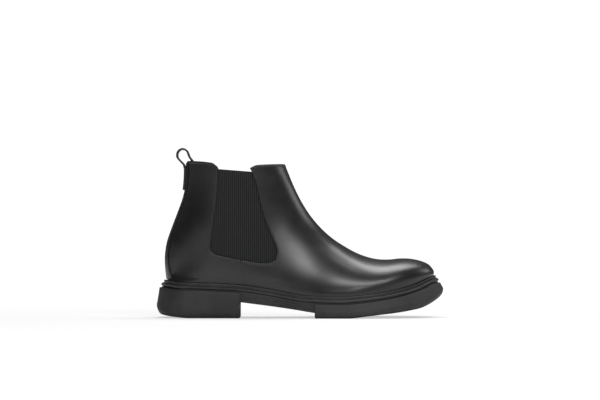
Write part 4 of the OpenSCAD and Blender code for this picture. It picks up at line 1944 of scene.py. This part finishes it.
@dataclass
class Sole:
    """Welt, midsole, forefoot tread and heel block."""

    finishes: Finishes
    breast: float = -62.8
    tread_from: float = 15.6
    block_reach: float = 7.2
    flare: float = 2.8
    lip: float = -3.6
    welt_rings: int = 280
    thread_steps: int = 400
    tread_rings: int = 130
    heel_rings: int = 84
    plate_rings: int = 150
    waist_rings: int = 60
    waist_rows: int = 36
    bar_pitch: float = 9.0
    bar_depth: float = 1.3
    ground: Curve = Curve(((-151, 9), (-147, 4.8), (-143, 3.2), (-136, 2), (-126, 0.8), (-116, 0), (-100, 0), (20, 0),
                           (50, 0), (67, 1.8), (84, 3.9), (101, 5.9), (117, 8.6), (126, 10.6), (134, 14), (143, 19.2),
                           (151, 25)))
    waist: Curve = Curve(((-62.7, 16.6), (-21, 11.2), (15.5, 5.5)))

    def welt(self) -> bpy.types.Object:
        """Builds the storm welt: a bead, a groove and a stitched lip.

        Returns:
            The piece.
        """
        bead = [(1.62 + 0.78 * math.cos(turn), -0.86 + 0.86 * math.sin(turn))
                for turn in (math.radians(200 - 25 * step) for step in range(9))]
        profile = [(-6, -2.1), (0.85, -2.1)] + bead + [
            (2.3, -1.9), (2.05, -3.2), (2.3, -4.1), (2.75, -4.1), (2.95, self.lip), (4.5, self.lip), (4.9, -3.68),
            (5.15, -3.95), (5.2, -4.6), (5.2, -5.6), (5.08, -6.0), (4.8, -6.2), (-6, -6.2)]
        rings = []
        for step in range(self.welt_rings):
            turn = 2 * math.pi * step / self.welt_rings
            rings.append([FORM.rim(turn, out) + Vector((0, 0, rise)) for out, rise in profile])
        bm = bmesh.new()
        lay_loft(bm, rings, around=True)
        return Piece("storm_welt", self.finishes.welt, "rubber", crease=38).finish(bm, ("welt",))

    def welt_stitches(self) -> bpy.types.Object:
        """Sews the lockstitches on the welt's lip.

        Returns:
            The piece.
        """
        bm = bmesh.new()
        turns = [2 * math.pi * step / self.thread_steps for step in range(self.thread_steps + 1)]
        path = [FORM.rim(turn, 3.1) + Vector((0, 0, self.lip)) for turn in turns]
        Stitching(4.35, 1.5, 0.74, 0.3).along(bm, path, [Vector((0, 0, 1))] * len(path))
        return Piece("welt_stitches", self.finishes.thread, "thread").finish(bm, ("welt_thread",))

    def rings(self, edge: Sequence[tuple[float, float, float]], shares: Sequence[float], start: float | None,
              end: float | None, under: Callable[[float, float], float] | None, across: int) -> Spots:
        """Lists the rings of a plate.

        Args:
            edge: From the top down: reach outside the feather line, how far its height follows the ground
                rather than the feather line, and height over that.
            shares: Places of the rings, from 0 to 1.
            start: Rear end, or None where it is round.
            end: Front end, or None where it is round.
            under: Relief of the underside over x and y.
            across: Stretches across the underside.

        Returns:
            The rings.
        """
        made: Spots = []
        for share in shares:
            spots = []
            for out, blend, rise in edge:
                x0 = FORM.heel_x - out if start is None else start
                x1 = FORM.toe_x + out if end is None else end
                x = x0 + share * (x1 - x0)
                z = (1 - blend) * FORM.feather(x) + blend * max(0.0, self.ground(x)) + rise
                spots.append((x, FORM.mid(x, out), max(0.6, FORM.half_width(x, out)), z))
            ring = [Vector((x, mid - half, z)) for x, mid, half, z in spots]
            x, mid, half, z = spots[-1]
            for step in range(1, across):
                y = mid + half * (2 * step / across - 1)
                inside = min(1.0, (half - abs(y - mid)) / 3)
                ring.append(Vector((x, y, z + (under(x, y) * inside if under else 0))))
            ring += [Vector((x, mid + half, z)) for x, mid, half, z in spots[::-1]]
            made.append(ring)
        return made

    def block_edge(self) -> list[tuple[float, float, float]]:
        """Lists a block's outside edge, from its top down.

        Returns:
            Reach, share of the ground's height, and height.
        """
        reach = self.block_reach
        wide = reach + self.flare
        wall = [(reach + self.flare * step / 6, step / 6, -8.6 + 14.6 * step / 6) for step in range(7)]
        foot = [(wide + 0.03, 1, 4.6), (wide - 0.1, 1, 3.2), (wide - 0.55, 1, 2.0), (wide - 1.3, 1, 0.95),
                (wide - 2.1, 1, 0.3), (wide - 3, 1, 0)]
        return [(reach - 0.8, 0, -8.05), (reach - 0.25, 0, -8.15)] + wall + foot

    def blocks(self) -> list[bpy.types.Object]:
        """Builds the forefoot tread and the heel block.

        Returns:
            The pieces.
        """

        def bars(x: float, y: float) -> float:
            """Cuts shallow curved bars across the tread."""
            wave = math.sin(2 * math.pi * (x + 0.012 * y * y) / self.bar_pitch)
            return self.bar_depth * unit((wave - 0.45) * 4)

        made = []
        for name, node, shares, start, end in (
                ("forefoot_sole", "forefoot_tread", late(self.tread_rings), self.tread_from, None),
                ("heel_sole", "heel_block", early(self.heel_rings), None, self.breast)):
            bm = bmesh.new()
            lay_loft(bm, self.rings(self.block_edge(), shares, start, end, bars, 40))
            piece = Piece(name, self.finishes.rubber, "rubber", crease=35).finish(bm, (node,))
            soften(piece, 0.5, 2, 55)
            made.append(piece)
        return made

    def midsole(self) -> bpy.types.Object:
        """Builds the midsole, with its ribbed waist.

        Returns:
            The piece.
        """
        bm = bmesh.new()
        plate = [(4.1, 0, -6.7), (4.5, 0, -6.85), (4.6, 0, -7.2), (4.6, 0, -7.75)]
        spread = [(1 - math.cos(math.pi * step / self.plate_rings)) / 2 for step in range(self.plate_rings + 1)]
        lay_loft(bm, self.rings(plate, spread, None, None, None, 2))
        rings: Spots = []
        for step in range(self.waist_rings + 1):
            x = self.breast + (self.tread_from - self.breast) * step / self.waist_rings
            top, low = FORM.feather(x) - 7.7, self.waist(x)
            ring_half: list[tuple[float, float]] = []
            for number in range(self.waist_rows + 1):
                part = number / self.waist_rows
                groove = 0.32 * max(0.0, math.cos(2 * math.pi * part * 4)) ** 3 if 0.06 < part < 0.94 else 0.0
                corner = 1.2 * max(0.0, part - 0.94) / 0.06
                ring_half.append((4.55 - groove - corner, top + (low - top) * part))
            lateral = [Vector((x, FORM.mid(x, out) - FORM.half_width(x, out), z)) for out, z in ring_half]
            medial = [Vector((x, FORM.mid(x, out) + FORM.half_width(x, out), z)) for out, z in ring_half[::-1]]
            rings.append(lateral + medial)
        lay_loft(bm, rings)
        return Piece("midsole_rubber", self.finishes.rubber, "rubber", crease=38).finish(bm, ("midsole",))

    def build(self) -> list[bpy.types.Object]:
        """Builds and dresses the sole.

        Returns:
            The pieces.
        """
        return [self.welt(), self.welt_stitches(), *self.blocks(), self.midsole()]


# ---- what stays from the frame --------------------------------------------------------------------


@dataclass
class HiddenParts:
    """The stiffeners, board, filler, shank and nails that stay as they are."""

    finishes: Finishes
    coats: tuple[tuple[str, str], ...] = (("toe_puff", "stiffener"), ("heel_counter", "stiffener"),
                                          ("insole_board", "board"), ("bottom_filler", "cork"), ("shank", "steel"),
                                          ("shank_rivets", "steel"), ("heel_nails", "steel"))

    def build(self) -> None:
        """Dresses the parts that stay."""
        for node, coat in self.coats:
            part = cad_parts[node]
            material = self.finishes.hidden[coat]
            if not part.material_slots:
                part.data.materials.append(material)
            for slot in part.material_slots:
                slot.material = material
            LOG.info("%s: %s", node, material.name)


# ---- the studio -----------------------------------------------------------------------------------


@dataclass
class Studio:
    """Pale floor, soft lights, and the camera at the boot's side."""

    distance: float = 3.0
    height: float = 0.085
    width: float = 0.63
    rise: float = 0.0605

    def camera(self) -> None:
        """Sets up the camera."""
        data = bpy.data.cameras.new("camera")
        data.sensor_width = 36
        data.lens = 36 * self.distance / self.width
        data.shift_y = self.rise
        data.clip_end = 60
        camera = placed("camera", data)
        camera.location = (0, -self.distance, self.height)
        camera.rotation_euler = (math.pi / 2, 0, 0)
        bpy.context.scene.camera = camera

    def world(self, seen: float, lit: float) -> None:
        """Sets up the surroundings.

        Args:
            seen: Brightness that the camera sees.
            lit: Brightness that lights the boot.
        """
        world = bpy.data.worlds.new("studio")
        world.use_nodes = True
        bpy.context.scene.world = world
        wires = Wiring(world.node_tree)
        shade = world.node_tree.nodes["Background"]
        path = wires.node("ShaderNodeLightPath")
        level = wires.math("MULTIPLY_ADD", path.outputs["Is Camera Ray"], seen - lit, lit)
        wires.join(level, shade.inputs["Strength"])
        shade.inputs["Color"].default_value = (1, 1, 1, 1)

    def floor(self) -> None:
        """Lays the floor."""
        bm = bmesh.new()
        bmesh.ops.create_grid(bm, x_segments=2, y_segments=2, size=14)
        mesh = bpy.data.meshes.new("floor")
        bm.to_mesh(mesh)
        bm.free()
        material = bpy.data.materials.new("floor_paper")
        material.use_nodes = True
        wires = Wiring(material.node_tree)
        nodes = material.node_tree.nodes
        paper = nodes["Principled BSDF"]
        paper.inputs["Base Color"].default_value = (0.86, 0.86, 0.86, 1)
        paper.inputs["Roughness"].default_value = 0.9
        paper.inputs["Specular IOR Level"].default_value = 0.1
        glow = wires.node("ShaderNodeEmission")
        glow.inputs["Strength"].default_value = 1.05
        path = wires.node("ShaderNodeLightPath")
        mix = wires.node("ShaderNodeMixShader")
        place = wires.node("ShaderNodeTexCoord").outputs["Object"]
        size = wires.node("ShaderNodeVectorMath", operation="LENGTH")
        wires.join(place, size.inputs[0])
        far = wires.ramp(wires.math("DIVIDE", size.outputs["Value"], 2.0), ((0.12, 0.5), (0.45, 1.0)))
        wires.join(wires.times(path.outputs["Is Camera Ray"], far), mix.inputs[0])
        wires.join(paper.outputs[0], mix.inputs[1])
        wires.join(glow.outputs[0], mix.inputs[2])
        wires.join(mix.outputs[0], nodes["Material Output"].inputs["Surface"])
        mesh.materials.append(material)
        floor = placed("floor", mesh)

    def lamp(self, name: str, power: float, place: tuple[float, float, float], aim: tuple[float, float, float],
             size: Pair) -> None:
        """Hangs a softbox.

        Args:
            name: Name of the lamp.
            power: Power in watts.
            place: Where it hangs.
            aim: Where it points.
            size: Its width and height.
        """
        data = bpy.data.lights.new(name, "AREA")
        data.energy = power
        data.shape = "RECTANGLE"
        data.size, data.size_y = size
        lamp = placed(name, data)
        lamp.location = place
        lamp.rotation_euler = (Vector(aim) - Vector(place)).to_track_quat("-Z", "Y").to_euler()

    def build(self) -> None:
        """Sets up the whole studio."""
        self.camera()
        self.world(1.05, 0.08)
        self.floor()
        self.lamp("front_softbox", 21, (0.3, -1.75, 1.28), (0, 0, 0.06), (1.2, 0.4))
        self.lamp("top_softbox", 36, (0.15, 0.55, 1.95), (0, 0, 0), (1.5, 1.0))
        self.lamp("toe_softbox", 8, (1.9, 0.5, 1.1), (0.05, 0, 0.05), (0.8, 1.0))
        bpy.context.scene.view_settings.view_transform = "Standard"


def main() -> None:
    """Builds the boot and its studio."""
    logging.basicConfig(level=logging.INFO, format="%(message)s")
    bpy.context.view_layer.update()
    Studio().build()
    finishes = Finishes()
    Upper(finishes).build()
    Gores(finishes).build()
    Collar(finishes).build()
    BackStrip(finishes).build()
    PullStrap(finishes).build()
    Seams(finishes).build()
    Inside(finishes).build()
    Sole(finishes).build()
    HiddenParts(finishes).build()


if __name__ == "__main__":
    main()
